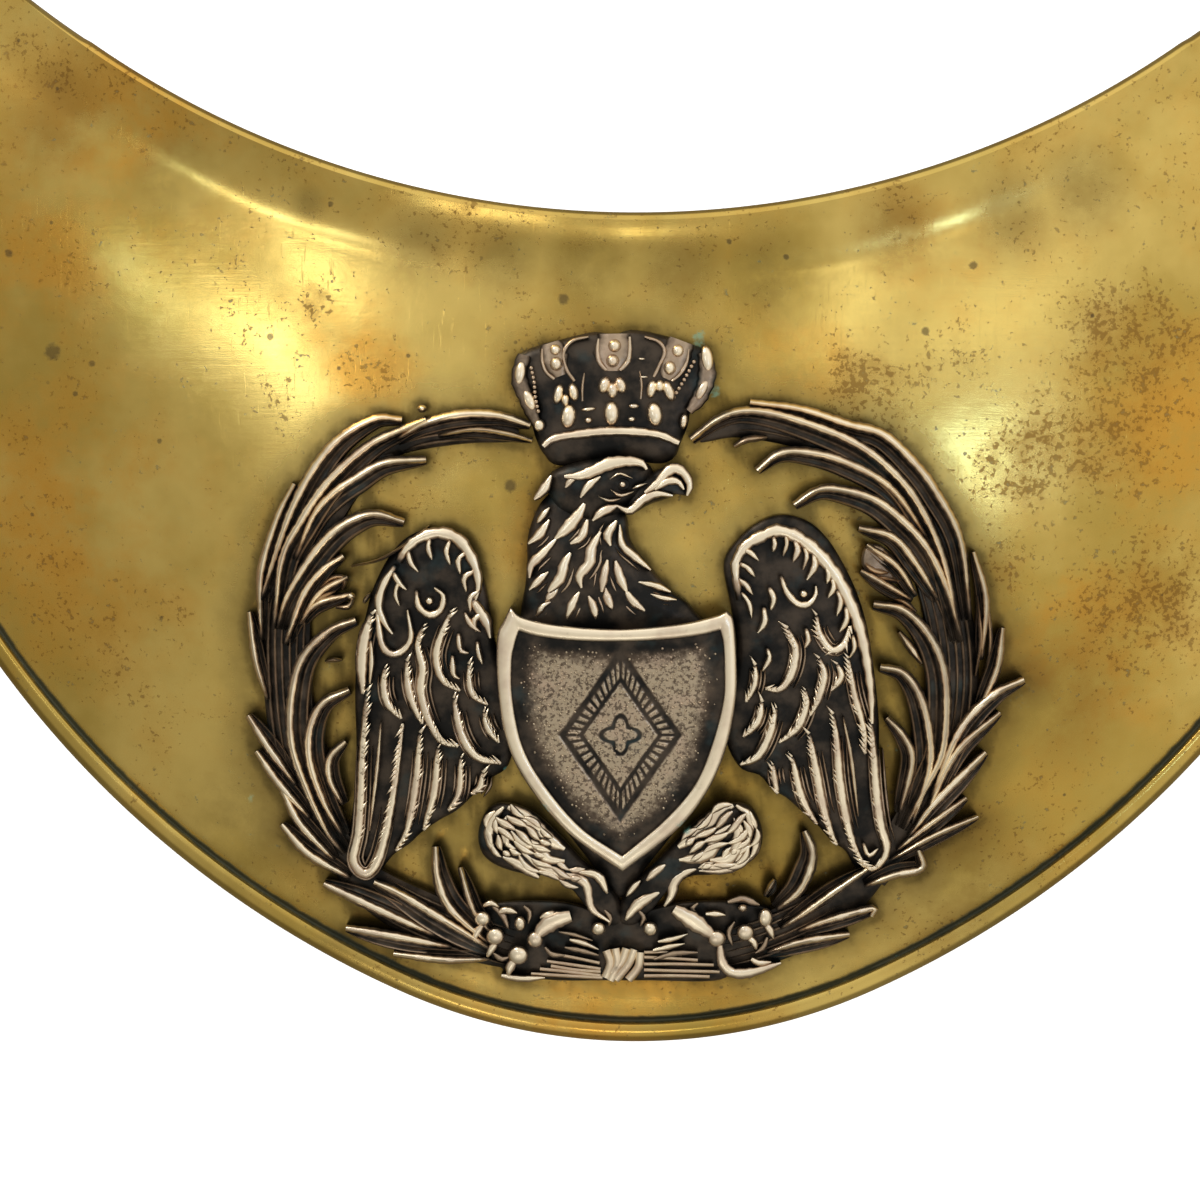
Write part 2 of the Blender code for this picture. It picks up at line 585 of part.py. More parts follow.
def drape(form, name, collection, slope, lift):
    """Lay a flat-backed form on the plate's face, a small gap above it."""
    for point in form.verts:
        point.co.y -= BADGE_DROP
        point.co.z += smooth_sheet(point.co.x, point.co.y, slope) + lift
    bmesh.ops.triangulate(form, faces=form.faces)
    piece = as_object(form, name)
    piece.data.shade_smooth()
    piece.data.set_sharp_from_angle(angle=SHARP_ANGLE)
    piece.data.materials.append(metal(name + "_silver", SILVER))
    collection.objects.link(piece)
    return piece


def right_wing_rows(rows):
    """The left wing's places turned over to the right side, leaning in at the top."""
    turned = []
    for row in rows:
        places = []
        for u, v in zip(row[0:6:2], row[1:6:2]):
            lean = WING_LEAN * max(v - WING_LEAN_FROM, 0.0)
            places += [2 * WING_AXIS - u - lean, v]
        turned.append(tuple(places) + tuple(row[6:]))
    return turned


def right_wing_outline():
    turned = right_wing_rows([(u, v, u, v, u, v) for u, v in WING_OUTLINE])
    return [row[0:2] for row in turned]


def grown(outline, gap):
    """An outline moved outwards by a gap, corner by corner."""
    count = len(outline)
    area = sum(outline[k][0] * outline[(k + 1) % count][1] - outline[(k + 1) % count][0] * outline[k][1]
               for k in range(count))
    turn = 1 if area > 0 else -1
    moved = []
    for k in range(count):
        before, here, after = (Vector(outline[(k + shift) % count]) for shift in (-1, 0, 1))
        first = (here - before).normalized()
        second = (after - here).normalized()
        outward = Vector((first.y + second.y, -first.x - second.x)).normalized() * turn
        opening = max(abs(outward.dot(Vector((first.y, -first.x)))), 0.5)
        moved.append(tuple(here + outward * gap / opening))
    return moved


def room(outline, bottom=-ROOM_DEPTH):
    """A cutter that clears an outline and a small gap round it, from a height upwards."""
    return slab(grown(outline, FIT_GAP / UNIT), bottom, TOP_ROOM, "room")


def box_outline(left, right, low, high):
    """The four corners of an upright box's plan."""
    return [(left, low), (right, low), (right, high), (left, high)]


def shield_outline():
    """The whole outline from the table of its right side."""
    turned = [(2 * SHIELD_AXIS - u, v) for u, v in reversed(SHIELD_OUTLINE[1:-1])]
    return SHIELD_OUTLINE + turned


def make_wreath(collection, slope):
    """Two branches and the tie that holds their stems, struck as one piece."""
    shapes = blades(LEFT_LEAVES + RIGHT_LEAVES + TIE_ROWS)
    cutters = [room(WING_OUTLINE), room(right_wing_outline()), room(CROWN_OUTLINE)]
    for sides in TOE_ROOMS:
        cutters.append(slab(box_outline(*sides), TOE_FLOOR - FIT_GAP, TOP_ROOM, "room"))
    form = fuse("wreath", shapes, cutters + [under_badge()])
    return drape(form, "wreath", collection, slope, FIT_GAP)


def make_eagle(collection, slope):
    """Body, wings, neck, head, thighs and toes, struck as one piece."""
    shapes = [slab(outline, 0.0, SLAB_THICKNESS)
              for outline in (BODY_OUTLINE, WING_OUTLINE, right_wing_outline())]
    strokes = WING_FEATHERS + right_wing_rows(WING_FEATHERS) + BODY_STROKES
    shapes += blades(strokes, SLAB_THICKNESS - BLADE_SINK, walled=False)
    for row in TOE_ROWS:
        shapes.append(blade(row, TOE_FLOOR, TOE_FLOOR))
        shapes.append(ball(row[4], row[5], TOE_FLOOR + TOE_BALL / 2, TOE_BALL))
    for u, v in ANKLES:
        shapes.append(ball(u, v, ANKLE_SIZE / 2, ANKLE_SIZE))
    cutters = [room(CROWN_OUTLINE), room(shield_outline(), SLAB_THICKNESS - SEAT_DEPTH)]
    form = fuse("eagle", shapes, cutters + [under_badge()])
    return drape(form, "eagle", collection, slope, FIT_GAP)


def make_crown(collection, slope):
    """A closed crown: a band, five arches set with pearls and the cap behind them."""
    shapes = [slab(CROWN_OUTLINE, 0.0, CROWN_THICKNESS)]
    shapes += blades(CROWN_ARCHES + [CROWN_BAND], CROWN_THICKNESS - BLADE_SINK, walled=False)
    for row in CROWN_ARCHES:
        for pearl in range(CROWN_PEARLS):
            share = FIRST_PEARL + (LAST_PEARL - FIRST_PEARL) * pearl / (CROWN_PEARLS - 1)
            place = ridge_point(row, share) / UNIT
            shapes.append(ball(place.x, place.y, crest_at(row, share), PEARL_SIZE))
    form = fuse("crown", shapes, [under_badge()])
    return drape(form, "crown", collection, slope, FIT_GAP)


def make_shield(collection, slope):
    """An escutcheon with a raised frame, seated in the eagle's breast."""
    outline = shield_outline()
    inside = grown(outline, -SHIELD_FRAME_WIDTH / UNIT)
    plate = slab(outline, 0.0, SHIELD_THICKNESS + SHIELD_FRAME_RISE)
    form = fuse("shield", [plate], [slab(inside, SHIELD_THICKNESS, TOP_ROOM, "room")])
    return drape(form, "shield", collection, slope, SLAB_THICKNESS - SEAT_DEPTH + 2 * FIT_GAP)


def stand_on_origin(pieces):
    """Put the middle of the whole object's underside on the origin."""
    graph = bpy.context.evaluated_depsgraph_get()
    points = []
    for piece in pieces:
        seen = piece.evaluated_get(graph)
        points += [piece.matrix_world @ point.co for point in seen.data.vertices]
    low = [min(point[axis] for point in points) for axis in range(3)]
    high = [max(point[axis] for point in points) for axis in range(3)]
    frame = bpy.data.objects.new("gorget_frame", None)
    bpy.context.scene.collection.objects.link(frame)
    frame.location = (-(low[0] + high[0]) / 2, -(low[1] + high[1]) / 2, -low[2])
    return frame


def main():
    clear_scene()
    gorget = bpy.data.collections.new("gorget")
    cutters = bpy.data.collections.new("cutters")
    bpy.context.scene.collection.children.link(gorget)
    bpy.context.scene.collection.children.link(cutters)
    slope = rest_slope()
    plate, horn = make_plate(gorget, slope)
    cut_cord_holes(plate, horn, cutters, slope)
    pieces = [
        plate,
        make_wreath(gorget, slope),
        make_eagle(gorget, slope),
        make_crown(gorget, slope),
        make_shield(gorget, slope),
    ]
    frame = stand_on_origin(pieces)
    for piece in pieces + list(cutters.objects):
        piece.parent = frame


if __name__ == "__main__":
    main()
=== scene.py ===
# %% [markdown]
# # A brass gorget with a silver badge
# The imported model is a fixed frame, and every piece made here is laid on it.
# This file dresses the five CAD pieces: the brass plate, and the wreath, eagle, crown and
# shield of the silver badge. Each gets a fine mesh of the same form and a finish from nodes.

# %% Load the frame
import math

import bmesh
import bpy
import numpy as np
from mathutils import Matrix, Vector
from mathutils.geometry import intersect_sphere_sphere_2d
from mathutils.kdtree import KDTree


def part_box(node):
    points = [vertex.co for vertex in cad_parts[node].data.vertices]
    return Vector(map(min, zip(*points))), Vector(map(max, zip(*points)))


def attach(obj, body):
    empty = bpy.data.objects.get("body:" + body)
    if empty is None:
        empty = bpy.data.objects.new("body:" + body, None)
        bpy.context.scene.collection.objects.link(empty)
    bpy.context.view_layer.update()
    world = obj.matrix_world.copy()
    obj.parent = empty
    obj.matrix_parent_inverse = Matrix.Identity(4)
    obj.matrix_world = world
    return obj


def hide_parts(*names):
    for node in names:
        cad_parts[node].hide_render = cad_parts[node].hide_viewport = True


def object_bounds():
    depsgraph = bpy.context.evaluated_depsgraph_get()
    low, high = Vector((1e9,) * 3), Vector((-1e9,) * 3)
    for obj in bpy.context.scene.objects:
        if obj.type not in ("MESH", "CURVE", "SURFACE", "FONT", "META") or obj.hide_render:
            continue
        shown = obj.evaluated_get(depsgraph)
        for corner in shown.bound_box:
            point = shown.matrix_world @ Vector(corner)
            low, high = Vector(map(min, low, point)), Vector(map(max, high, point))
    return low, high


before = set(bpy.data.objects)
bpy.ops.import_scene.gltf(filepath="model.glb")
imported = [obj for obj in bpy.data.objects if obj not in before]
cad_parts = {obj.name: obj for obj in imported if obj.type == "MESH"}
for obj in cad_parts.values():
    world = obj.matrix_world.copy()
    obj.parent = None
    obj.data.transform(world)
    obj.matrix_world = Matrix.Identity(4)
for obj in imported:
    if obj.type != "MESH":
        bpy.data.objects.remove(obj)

cad_box = [[float(value) for value in corner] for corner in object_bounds()]
plate_low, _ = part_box("plate")
print("CAD box in metres:", cad_box)

# %% [markdown]
# ## Where things are
# The plate lies on its back, and the camera looks straight down on it. So a place on the photo
# is a place in plan, and one number turns pixels into metres. The neck edge's lowest point is
# where the plate's own curves start.

# %% Sizes of the plate, in metres
NECK_RADIUS = 0.0745
PLATE_HEIGHT = 0.0644
BOTTOM_RADIUS = 0.0455
FLANK_RADIUS = 0.0790
FLANK_TURN = math.radians(24)
HORN_RADIUS = 0.0048
HORN_BLUNT = math.radians(14)
SHEET_THICKNESS = 0.0010
WRAP_RADIUS = 0.120
LEAN_RADIUS = 0.200
HORN_DROP = 0.0045
BELLY_RISE = 0.0032
FLANGE_WIDTH = 0.0055
FLANGE_RISE = 0.0024
EDGE_FADE_WIDTH = 0.022
BEAD_WIDTH = 0.0015
BEAD_RISE = 0.0006
GROOVE_WIDTH = 0.0005
GROOVE_DEPTH = 0.00025
CORD_HOLE_RADIUS = 0.0015
DRILL_SIDES = 48
DRILL_LENGTH = 0.012
FIT_GAP = 0.0003
MILLIMETRE = 0.001

# %% Places on the badge, in pixels of the photo
BADGE_WIDTH = 0.0609
BADGE_WIDTH_PIXELS = 780
BADGE_DROP = 0.0342
BADGE_MIDDLE = (638, 660)
PIXEL = BADGE_WIDTH / BADGE_WIDTH_PIXELS
NECK_Y = plate_low.y + PLATE_HEIGHT
BADGE_Y = NECK_Y - BADGE_DROP


def plan(points):
    """Photo pixels as x and y in metres."""
    places = np.asarray(points, float)
    x = (places[..., 0] - BADGE_MIDDLE[0]) * PIXEL
    y = BADGE_Y - (places[..., 1] - BADGE_MIDDLE[1]) * PIXEL
    return np.stack([x, y], axis=-1)


print("badge middle at y =", round(BADGE_Y * 1000, 2), "mm")
print("a pixel is", round(PIXEL * 1e6, 1), "micrometres")

# %% [markdown]
# ## The plate's own curves
# The outline is five arcs: the neck, the bottom, a flank on each side and the round horns.
# The face is a sheet that wraps round the chest, with a belly, a turned-out neck flange and a
# bead with a groove along its outer edge. A formula gives the height of any point, so the same
# rule shapes the plate and seats the badge on it.

# %% Outline
NECK_CENTRE = Vector((0, NECK_RADIUS))
BOTTOM_CENTRE = Vector((0, BOTTOM_RADIUS - PLATE_HEIGHT))
FLANK_REACH = FLANK_RADIUS - BOTTOM_RADIUS
FLANK_CENTRE = BOTTOM_CENTRE + FLANK_REACH * Vector((-math.sin(FLANK_TURN), math.cos(FLANK_TURN)))


def angle_of(vector):
    return math.atan2(vector.y, vector.x)


def right_paths():
    """The neck edge and the outer edge of the right half, as arcs, and the horn's middle."""
    meet = intersect_sphere_sphere_2d(
        NECK_CENTRE, NECK_RADIUS + HORN_RADIUS, FLANK_CENTRE, FLANK_RADIUS - HORN_RADIUS)
    horn = max(meet, key=lambda point: point.x)
    flank_turn = angle_of(horn - FLANK_CENTRE)
    back_to_neck = angle_of(NECK_CENTRE - horn)
    nose = (back_to_neck + flank_turn) / 2
    neck = [
        (NECK_CENTRE, NECK_RADIUS, -math.pi / 2, angle_of(horn - NECK_CENTRE)),
        (horn, HORN_RADIUS, back_to_neck, nose + HORN_BLUNT),
    ]
    outer = [
        (BOTTOM_CENTRE, BOTTOM_RADIUS, -math.pi / 2, FLANK_TURN - math.pi / 2),
        (FLANK_CENTRE, FLANK_RADIUS, FLANK_TURN - math.pi / 2, flank_turn),
        (horn, HORN_RADIUS, flank_turn, nose - HORN_BLUNT),
    ]
    return neck, outer, horn


NECK_PATH, OUTER_PATH, HORN = right_paths()


def along(arcs, share):
    """The point at a share of the length of a path of arcs."""
    lengths = [radius * abs(end - start) for _, radius, start, end in arcs]
    left = share * sum(lengths)
    for (centre, radius, start, end), length in zip(arcs, lengths):
        if left <= length:
            turn = start + (end - start) * left / length
            return centre + radius * Vector((math.cos(turn), math.sin(turn)))
        left -= length
    centre, radius, _, end = arcs[-1]
    return centre + radius * Vector((math.cos(end), math.sin(end)))


# %% Height of the face
def edge_distances(x, y):
    """How far points lie from the neck edge and from the outer edge, with y from the neck's low point."""
    x = np.abs(x)
    from_neck = np.hypot(x - NECK_CENTRE.x, y - NECK_CENTRE.y) - NECK_RADIUS
    down_x = x - BOTTOM_CENTRE.x
    down_y = y - BOTTOM_CENTRE.y
    at_bottom = (down_y < 0) & (np.arctan2(down_x, -down_y) < FLANK_TURN)
    from_bottom = BOTTOM_RADIUS - np.hypot(down_x, down_y)
    from_flank = FLANK_RADIUS - np.hypot(x - FLANK_CENTRE.x, y - FLANK_CENTRE.y)
    return np.maximum(from_neck, 0), np.maximum(np.where(at_bottom, from_bottom, from_flank), 0)


def bent_sheet(x, y):
    bend = np.maximum(y, 0) / (HORN.y + HORN_RADIUS)
    return -x * x / (2 * WRAP_RADIUS) - y * y / (2 * LEAN_RADIUS) - HORN_DROP * bend * bend


REST_STEPS = 40
NEAR_NECK = 0.0005


def rest_slope():
    """The slope at which the plate rests on the middle of its lower edge and on its sides."""
    low = along(OUTER_PATH, 0.0)
    low_height = bent_sheet(low.x, low.y)
    slopes = []
    for step in range(1, REST_STEPS + 1):
        point = along(OUTER_PATH, step / REST_STEPS)
        if point.y > low.y + BOTTOM_RADIUS / 2:
            slopes.append((low_height - bent_sheet(point.x, point.y)) / (point.y - low.y))
    return max(slopes)


SLOPE = rest_slope()


def smooth_sheet(x, y):
    """The face without its flange, bead and groove."""
    from_neck, from_outer = edge_distances(x, y)
    width = np.maximum(from_neck + from_outer, 1e-9)
    share = from_neck / width
    return bent_sheet(x, y) + SLOPE * y + 4 * BELLY_RISE * share * (1 - share) * width / PLATE_HEIGHT


def face_height(x, y):
    """The face with the rolled edges, which die away where the sheet narrows to the horns."""
    from_neck, from_outer = edge_distances(x, y)
    edge = FLANGE_RISE * np.maximum(1 - from_neck / FLANGE_WIDTH, 0) ** 2
    across = 2 * from_outer / BEAD_WIDTH - 1
    edge += np.where(from_outer < BEAD_WIDTH, BEAD_RISE * np.sqrt(np.maximum(1 - across ** 2, 0)), 0)
    into = np.clip((from_outer - BEAD_WIDTH) / GROOVE_WIDTH, 0, 1)
    edge -= GROOVE_DEPTH * np.sin(math.pi * into)
    fade = np.minimum((from_neck + from_outer) / EDGE_FADE_WIDTH, 1)
    return smooth_sheet(x, y) + edge * fade ** 2


def cad_face_height():
    """How high the CAD plate's face is where the neck edge is lowest."""
    heights = [point.co.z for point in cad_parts["plate"].data.vertices
               if abs(point.co.x) < NEAR_NECK and abs(point.co.y - NECK_Y) < NEAR_NECK]
    return max(heights)


BASE_Z = cad_face_height() - float(face_height(np.float64(0), np.float64(0)))


def seat(x, y):
    """World height of the plate's smooth face, where the badge is seated."""
    return BASE_Z + smooth_sheet(x, y - NECK_Y)


print("slope", round(SLOPE, 4), "and the curves' base at z =", round(BASE_Z * 1000, 2), "mm")

# %% [markdown]
# ## Shader maths in plain expressions
# A material is a graph of nodes, but its maths reads best as Python. One small class wraps a
# socket, and its operators add Math nodes. Everything else is made by one method of the class
# that holds the material.

# %% A socket that can be added, multiplied and compared
class Signal:
    """A number that varies over a surface."""

    def __init__(self, finish, socket):
        self.finish = finish
        self.socket = socket

    def math(self, operation, *others, clamp=False):
        values = {0: self}
        values.update({place + 1: other for place, other in enumerate(others)})
        settings = {"operation": operation, "use_clamp": clamp}
        return self.finish.node("ShaderNodeMath", settings, values)

    def __add__(self, other):
        return self.math("ADD", other)

    def __sub__(self, other):
        return self.math("SUBTRACT", other)

    def __mul__(self, other):
        return self.math("MULTIPLY", other)

    def __truediv__(self, other):
        return self.math("DIVIDE", other)

    def __rsub__(self, other):
        return self.finish.node("ShaderNodeMath", {"operation": "SUBTRACT"}, {0: other, 1: self})

    __radd__ = __add__
    __rmul__ = __mul__

    def ramp(self, low, high):
        """0 below low, 1 above high, smooth between. With low above high it falls instead."""
        settings = {"interpolation_type": "SMOOTHSTEP"}
        if low > high:
            return 1 - self.ramp(high, low)
        return self.finish.node(
            "ShaderNodeMapRange", settings, {"Value": self, "From Min": low, "From Max": high})

    def clamped(self):
        return self.math("ADD", 0.0, clamp=True)


# %% A graph of shader nodes
class Graph:
    """A node tree under construction, for a finish or for the room."""

    def __init__(self, tree, place):
        self.tree = tree
        coordinates = self.tree.nodes.new("ShaderNodeTexCoord")
        self.place = Signal(self, coordinates.outputs[place])

    def node(self, kind, settings=None, values=None, output=0):
        """Any node: its settings first, then the values or links of its sockets."""
        node = self.tree.nodes.new(kind)
        for name, value in (settings or {}).items():
            setattr(node, name, value)
        for socket, value in (values or {}).items():
            self.feed(node.inputs[socket], value)
        return Signal(self, node.outputs[output])

    def feed(self, socket, value):
        if isinstance(value, Signal):
            self.tree.links.new(value.socket, socket)
        else:
            socket.default_value = value

    def axis(self, number):
        """One coordinate of the place: 0 for x, 1 for y, 2 for z."""
        return self.node("ShaderNodeSeparateXYZ", {}, {0: self.place}, output=number)

    def near(self, spots, sharpness=1.0):
        """1 at the middle of any spot, 0 past its edge. A spot is a place and a radius in pixels."""
        flat = self.node("ShaderNodeMapping", {}, {"Vector": self.place, "Scale": (1, 1, 0)})
        total = None
        for x, y, radius in spots:
            place_x, place_y = plan((x, y))
            distance = self.node(
                "ShaderNodeVectorMath", {"operation": "DISTANCE"},
                {0: flat, 1: (float(place_x), float(place_y), 0)}, output="Value")
            share = 1 - distance / (radius * PIXEL)
            total = share if total is None else total.math("MAXIMUM", share)
        return (total * sharpness).clamped()

    def noise(self, scale, detail=4.0, roughness=0.55, stretch=(1, 1, 1), turn=0.0):
        """A noise from 0 to 1 over the object's own coordinates, in features per metre."""
        place = self.place
        if stretch != (1, 1, 1) or turn:
            place = self.node(
                "ShaderNodeMapping", {}, {"Vector": place, "Rotation": (0, 0, turn), "Scale": stretch})
        values = {"Vector": place, "Scale": scale, "Detail": detail, "Roughness": roughness}
        return self.node("ShaderNodeTexNoise", {}, values)

    def dots(self, scale):
        """The distance to scattered points, about 0 at each of them."""
        return self.node("ShaderNodeTexVoronoi", {}, {"Vector": self.place, "Scale": scale})

    def attribute(self, name):
        return self.node("ShaderNodeAttribute", {"attribute_name": name}, output="Fac")

    def mix(self, share, one, two):
        """A colour between two colours."""
        return self.node(
            "ShaderNodeMix", {"data_type": "RGBA"}, {0: share, 6: one, 7: two}, output=2)


# %% A finish: a material with one shader
class Finish(Graph):
    """A material under construction."""

    def __init__(self, name):
        self.material = bpy.data.materials.new(name)
        self.material.use_nodes = True
        super().__init__(self.material.node_tree, "Object")
        self.shader = self.tree.nodes["Principled BSDF"]

    def bump(self, height, distance, strength=1.0):
        return self.node(
            "ShaderNodeBump", {}, {"Height": height, "Distance": distance, "Strength": strength})

    def set(self, **values):
        """Set the shader's sockets; an underline in a name stands for a space."""
        for name, value in values.items():
            self.feed(self.shader.inputs[name.replace("_", " ")], value)
        return self.material


def colour(red, green, blue):
    """A linear colour from the values of a picture."""
    def linear(value):
        value /= 255
        return value / 12.92 if value <= 0.04045 else ((value + 0.055) / 1.055) ** 2.4
    return (linear(red), linear(green), linear(blue), 1.0)


# %% [markdown]
# ## Brass
# Old polished brass is golden where cloth rubs it and olive or brown where it has tarnished.
# It is built in layers: a slow change of tone, warm places, fine brown specks, smudges with painted shade
# along the flange's foot and on the lower flanks, a soft painted shade and a thin near-black line round the
# badge, dark spots, grime in the groove and crumbs of verdigris.
# Hairlines and scratches show in the gloss and in the relief. Small marks are charted in the
# finish itself. Wide ones, and the distances from groove and badge, are attributes of the plate.

# %% Marks on the brass, read from the photo
DARK_SPOTS = [
    # x, y, radius
    (52, 351, 12), (8, 252, 6), (565, 300, 8), (272, 337, 5), (926, 332, 6), (974, 266, 6), (512, 486, 9),
    (75, 393, 4), (92, 363, 5), (730, 243, 4), (787, 258, 4), (333, 205, 4), (160, 441, 4),
]
SPECKLED_PLACES = [
    (878, 400, 75), (950, 370, 55), (1125, 330, 100), (1075, 460, 110), (1150, 600, 110), (280, 400, 45),
    (322, 302, 22), (1020, 560, 60), (800, 590, 40),
]
# Dark stains near the horns and on the flange. The band along the flange's foot and the patches on the lower
# flanks are painted shade
SMUDGES_AND_SHADE = [
    (172, 176, 50), (60, 120, 65), (1088, 190, 60), (1010, 215, 60), (421, 250, 50), (505, 262, 50),
    (590, 268, 65), (680, 272, 65), (770, 276, 60), (310, 205, 22), (1060, 690, 100), (250, 820, 90),
    (900, 232, 60), (950, 880, 130),
]
WARM_PLACES = [
    (60, 520, 190), (40, 260, 110), (120, 130, 150), (360, 370, 90), (1185, 430, 150), (930, 250, 80),
    (540, 540, 60), (1080, 640, 150), (800, 360, 60), (600, 1010, 200),
]
SEAM_VERDIGRIS = [(544, 810, 10), (686, 828, 12), (352, 700, 7), (508, 770, 6)]
VERDIGRIS = [
    (700, 340, 13), (716, 392, 9), (556, 800, 9), (689, 830, 9), (250, 800, 7), (845, 735, 6),
]


# %% Brass finish
# Depths and reaches are in metres, and a noise's first number is its features per metre
BRASS_RELIEF = 0.00004
SILVER_RELIEF = 0.00003
# How far the painted shade round the badge reaches, in metres from the badge
SHADE_HALO_RANGE = (0.0034, -0.0006)
SEAM_RANGE = (0.0009, 0.0001)
GRIME_RANGE = (0.00044, 0.00014)
SPOT_SHARPNESS = 1.6
CRUMB_SHARPNESS = 1.4


def make_brass():
    brass = Finish("brass_patina")
    gold = colour(224, 196, 112)
    olive = colour(186, 158, 78)
    amber = colour(216, 158, 62)
    brown = colour(118, 80, 34)
    dark = colour(58, 46, 30)
    speckle = brass.noise(700, 4, 0.65)
    flecks = brass.noise(2300, 3, 0.65)
    cloud = brass.noise(110, 6, 0.66)
    tint = brass.mix(brass.noise(42, 5, 0.6).ramp(0.36, 0.64), gold, olive)
    warm = cloud.ramp(0.40, 0.66) * 0.25 + brass.attribute("warm") * cloud.ramp(0.32, 0.60) * 0.55
    tint = brass.mix(warm.clamped(), tint, amber)
    speckled = brass.attribute("speckled")
    film = (cloud + speckled * 0.20 + speckle * 0.20).ramp(0.66, 0.92)
    tint = brass.mix(film * 0.34, tint, brown)
    crust = (flecks * 0.9 + cloud * 0.45 + speckle * 0.35 + speckled * 0.10).ramp(0.965, 1.02)
    tint = brass.mix(crust * 0.55, tint, brown)
    # Stains, and painted shade along the flange's foot and on the lower flanks
    smudge_and_shade = brass.attribute("smudged") * cloud.ramp(0.22, 0.58)
    tint = brass.mix(smudge_and_shade * 0.42, tint, dark)
    near_badge = brass.attribute("near_badge")
    # Painted shade: a soft dark halo on the brass round the badge, as if cast by the relief
    shade_halo = (near_badge + (cloud - 0.5) * 0.0030 + (speckle - 0.5) * 0.0012).ramp(*SHADE_HALO_RANGE)
    tint = brass.mix(shade_halo * 0.57, tint, colour(80, 60, 34))
    # A thin near-black line on the brass right along the badge's edge
    seam = (near_badge + (speckle - 0.5) * 0.0008).ramp(*SEAM_RANGE)
    tint = brass.mix(seam * 0.55, tint, colour(40, 34, 22))
    charted = (brass.near(DARK_SPOTS, SPOT_SHARPNESS) + (flecks - 0.5) * 1.2).ramp(0.20, 0.95)
    pits = brass.dots(430).ramp(0.09, 0.05) * cloud.ramp(0.46, 0.56)
    spots = charted.math("MAXIMUM", pits)
    tint = brass.mix(spots * 0.66, tint, dark)
    groove = brass.attribute("from_groove")
    grime = (groove + (speckle - 0.5) * 0.00036).ramp(*GRIME_RANGE)
    tint = brass.mix(grime * 0.93, tint, colour(22, 38, 32))
    green = brass.near(VERDIGRIS, CRUMB_SHARPNESS)
    crumbs = (green + (flecks - 0.5) * 2.4 + (speckle - 0.5) * 2.0).ramp(0.40, 1.40)
    tint = brass.mix(crumbs * 0.60, tint, colour(128, 178, 150))
    hairlines = brass.noise(150, 5, 0.75, stretch=(1, 18, 1), turn=0.5) - 0.5
    scratches = brass.noise(260, 3, 0.7, stretch=(14, 1, 1), turn=-0.35).ramp(0.60, 0.72)
    dullness = film * 0.10 + crust * 0.14 + shade_halo * 0.20 + grime * 0.35 + smudge_and_shade * 0.12 + cloud * 0.06
    gloss = 0.15 + dullness + hairlines * 0.08
    relief = hairlines * 0.3 + speckle * 0.38 - scratches * 0.16
    return brass.set(
        Base_Color=tint, Metallic=1.0 - grime * 0.6 - spots * 0.3 - crumbs * 0.6,
        Roughness=gloss.clamped(), Normal=brass.bump(relief, BRASS_RELIEF, 0.40))


# %% [markdown]
# ## Oxidised silver
# The badge was blackened, and then its high places were rubbed bright. A wear value is kept on
# each point of its mesh: 1 on a crest, 0 in a hollow. The finish turns it into soot, a dull metal
# and a bright one, and a little noise breaks up the borders between them.

# %% Silver finish
def make_silver(name, bright_tone, dull_tone, edge=0.42, grain=0.30, stipple=0.0):
    """Black in the hollows, a dull tone where wear is middling and a bright one on the crests."""
    silver = Finish(name)
    fine = silver.noise(1500, 4, 0.65)
    wear = silver.attribute("worn")
    ragged = wear + (fine - 0.5) * grain
    polished = (wear + (silver.noise(600, 3) - 0.5) * 0.3).ramp(0.68, 0.98)
    punched = silver.noise(3300, 3, 0.6).ramp(0.50, 0.60) * (1 - polished) * stipple
    shown = ragged.ramp(edge - 0.28, edge + 0.20) * (1 - punched)
    metal = silver.mix(polished, dull_tone, bright_tone)
    metal = silver.mix(silver.noise(330, 3).ramp(0.44, 0.70) * 0.50, metal, colour(206, 180, 160))
    soot = silver.mix(silver.noise(420, 4).ramp(0.36, 0.68), colour(22, 21, 19), colour(74, 64, 54))
    soot = silver.mix(silver.noise(300, 3).ramp(0.56, 0.72) * 0.55, soot, colour(46, 62, 64))
    rubbed = (wear * 2.2 + (fine - 0.5) * 0.8).ramp(0.05, 0.75)
    soot = silver.mix(rubbed * 0.40, soot, colour(122, 102, 84))
    tint = silver.mix(shown, soot, metal)
    crumbs = (silver.near(SEAM_VERDIGRIS, CRUMB_SHARPNESS) + (fine - 0.5) * 2.2).ramp(0.45, 1.20)
    tint = silver.mix(crumbs * 0.75, tint, colour(92, 160, 150))
    gloss = 0.38 - shown * 0.12 + silver.noise(900, 3) * 0.10
    return silver.set(
        Base_Color=tint, Metallic=0.7 + shown * 0.3 - crumbs * 0.6, Roughness=gloss,
        Normal=silver.bump(silver.noise(2400, 3), SILVER_RELIEF, 0.35))


BRIGHT_SILVER = colour(255, 241, 214)
DULL_SILVER = colour(194, 172, 146)
FIELD_SILVER = colour(190, 174, 150)
BRASS = make_brass()
SILVER = make_silver("worn_silver", BRIGHT_SILVER, DULL_SILVER)
SHIELD_SILVER = make_silver("shield_silver", BRIGHT_SILVER, FIELD_SILVER, 0.45, 0.9, 0.85)
print("finishes:", BRASS.name, SILVER.name, SHIELD_SILVER.name)

# %% [markdown]
# ## The plate
# A real plate is one sheet of brass. Here each station along the crescent gets a closed section:
# the face, a rounded edge, the back and another rounded edge. The sections are joined like the
# hoops of a barrel, and a drill makes the two cord holes.

# %% Rows and sections
STATIONS = 190
FLANGE_STEPS = 18
BELLY_STEPS = 34
BEAD_STEPS = 12
GROOVE_STEPS = 6
EDGE_ROWS_SHARE = 0.85
EDGE_TURN = 0.3
EDGE_ROWS_REACH = 1.2
PLATE_SHARP_ANGLE = math.radians(50)
RELIEF_SHARP_ANGLE = math.radians(60)


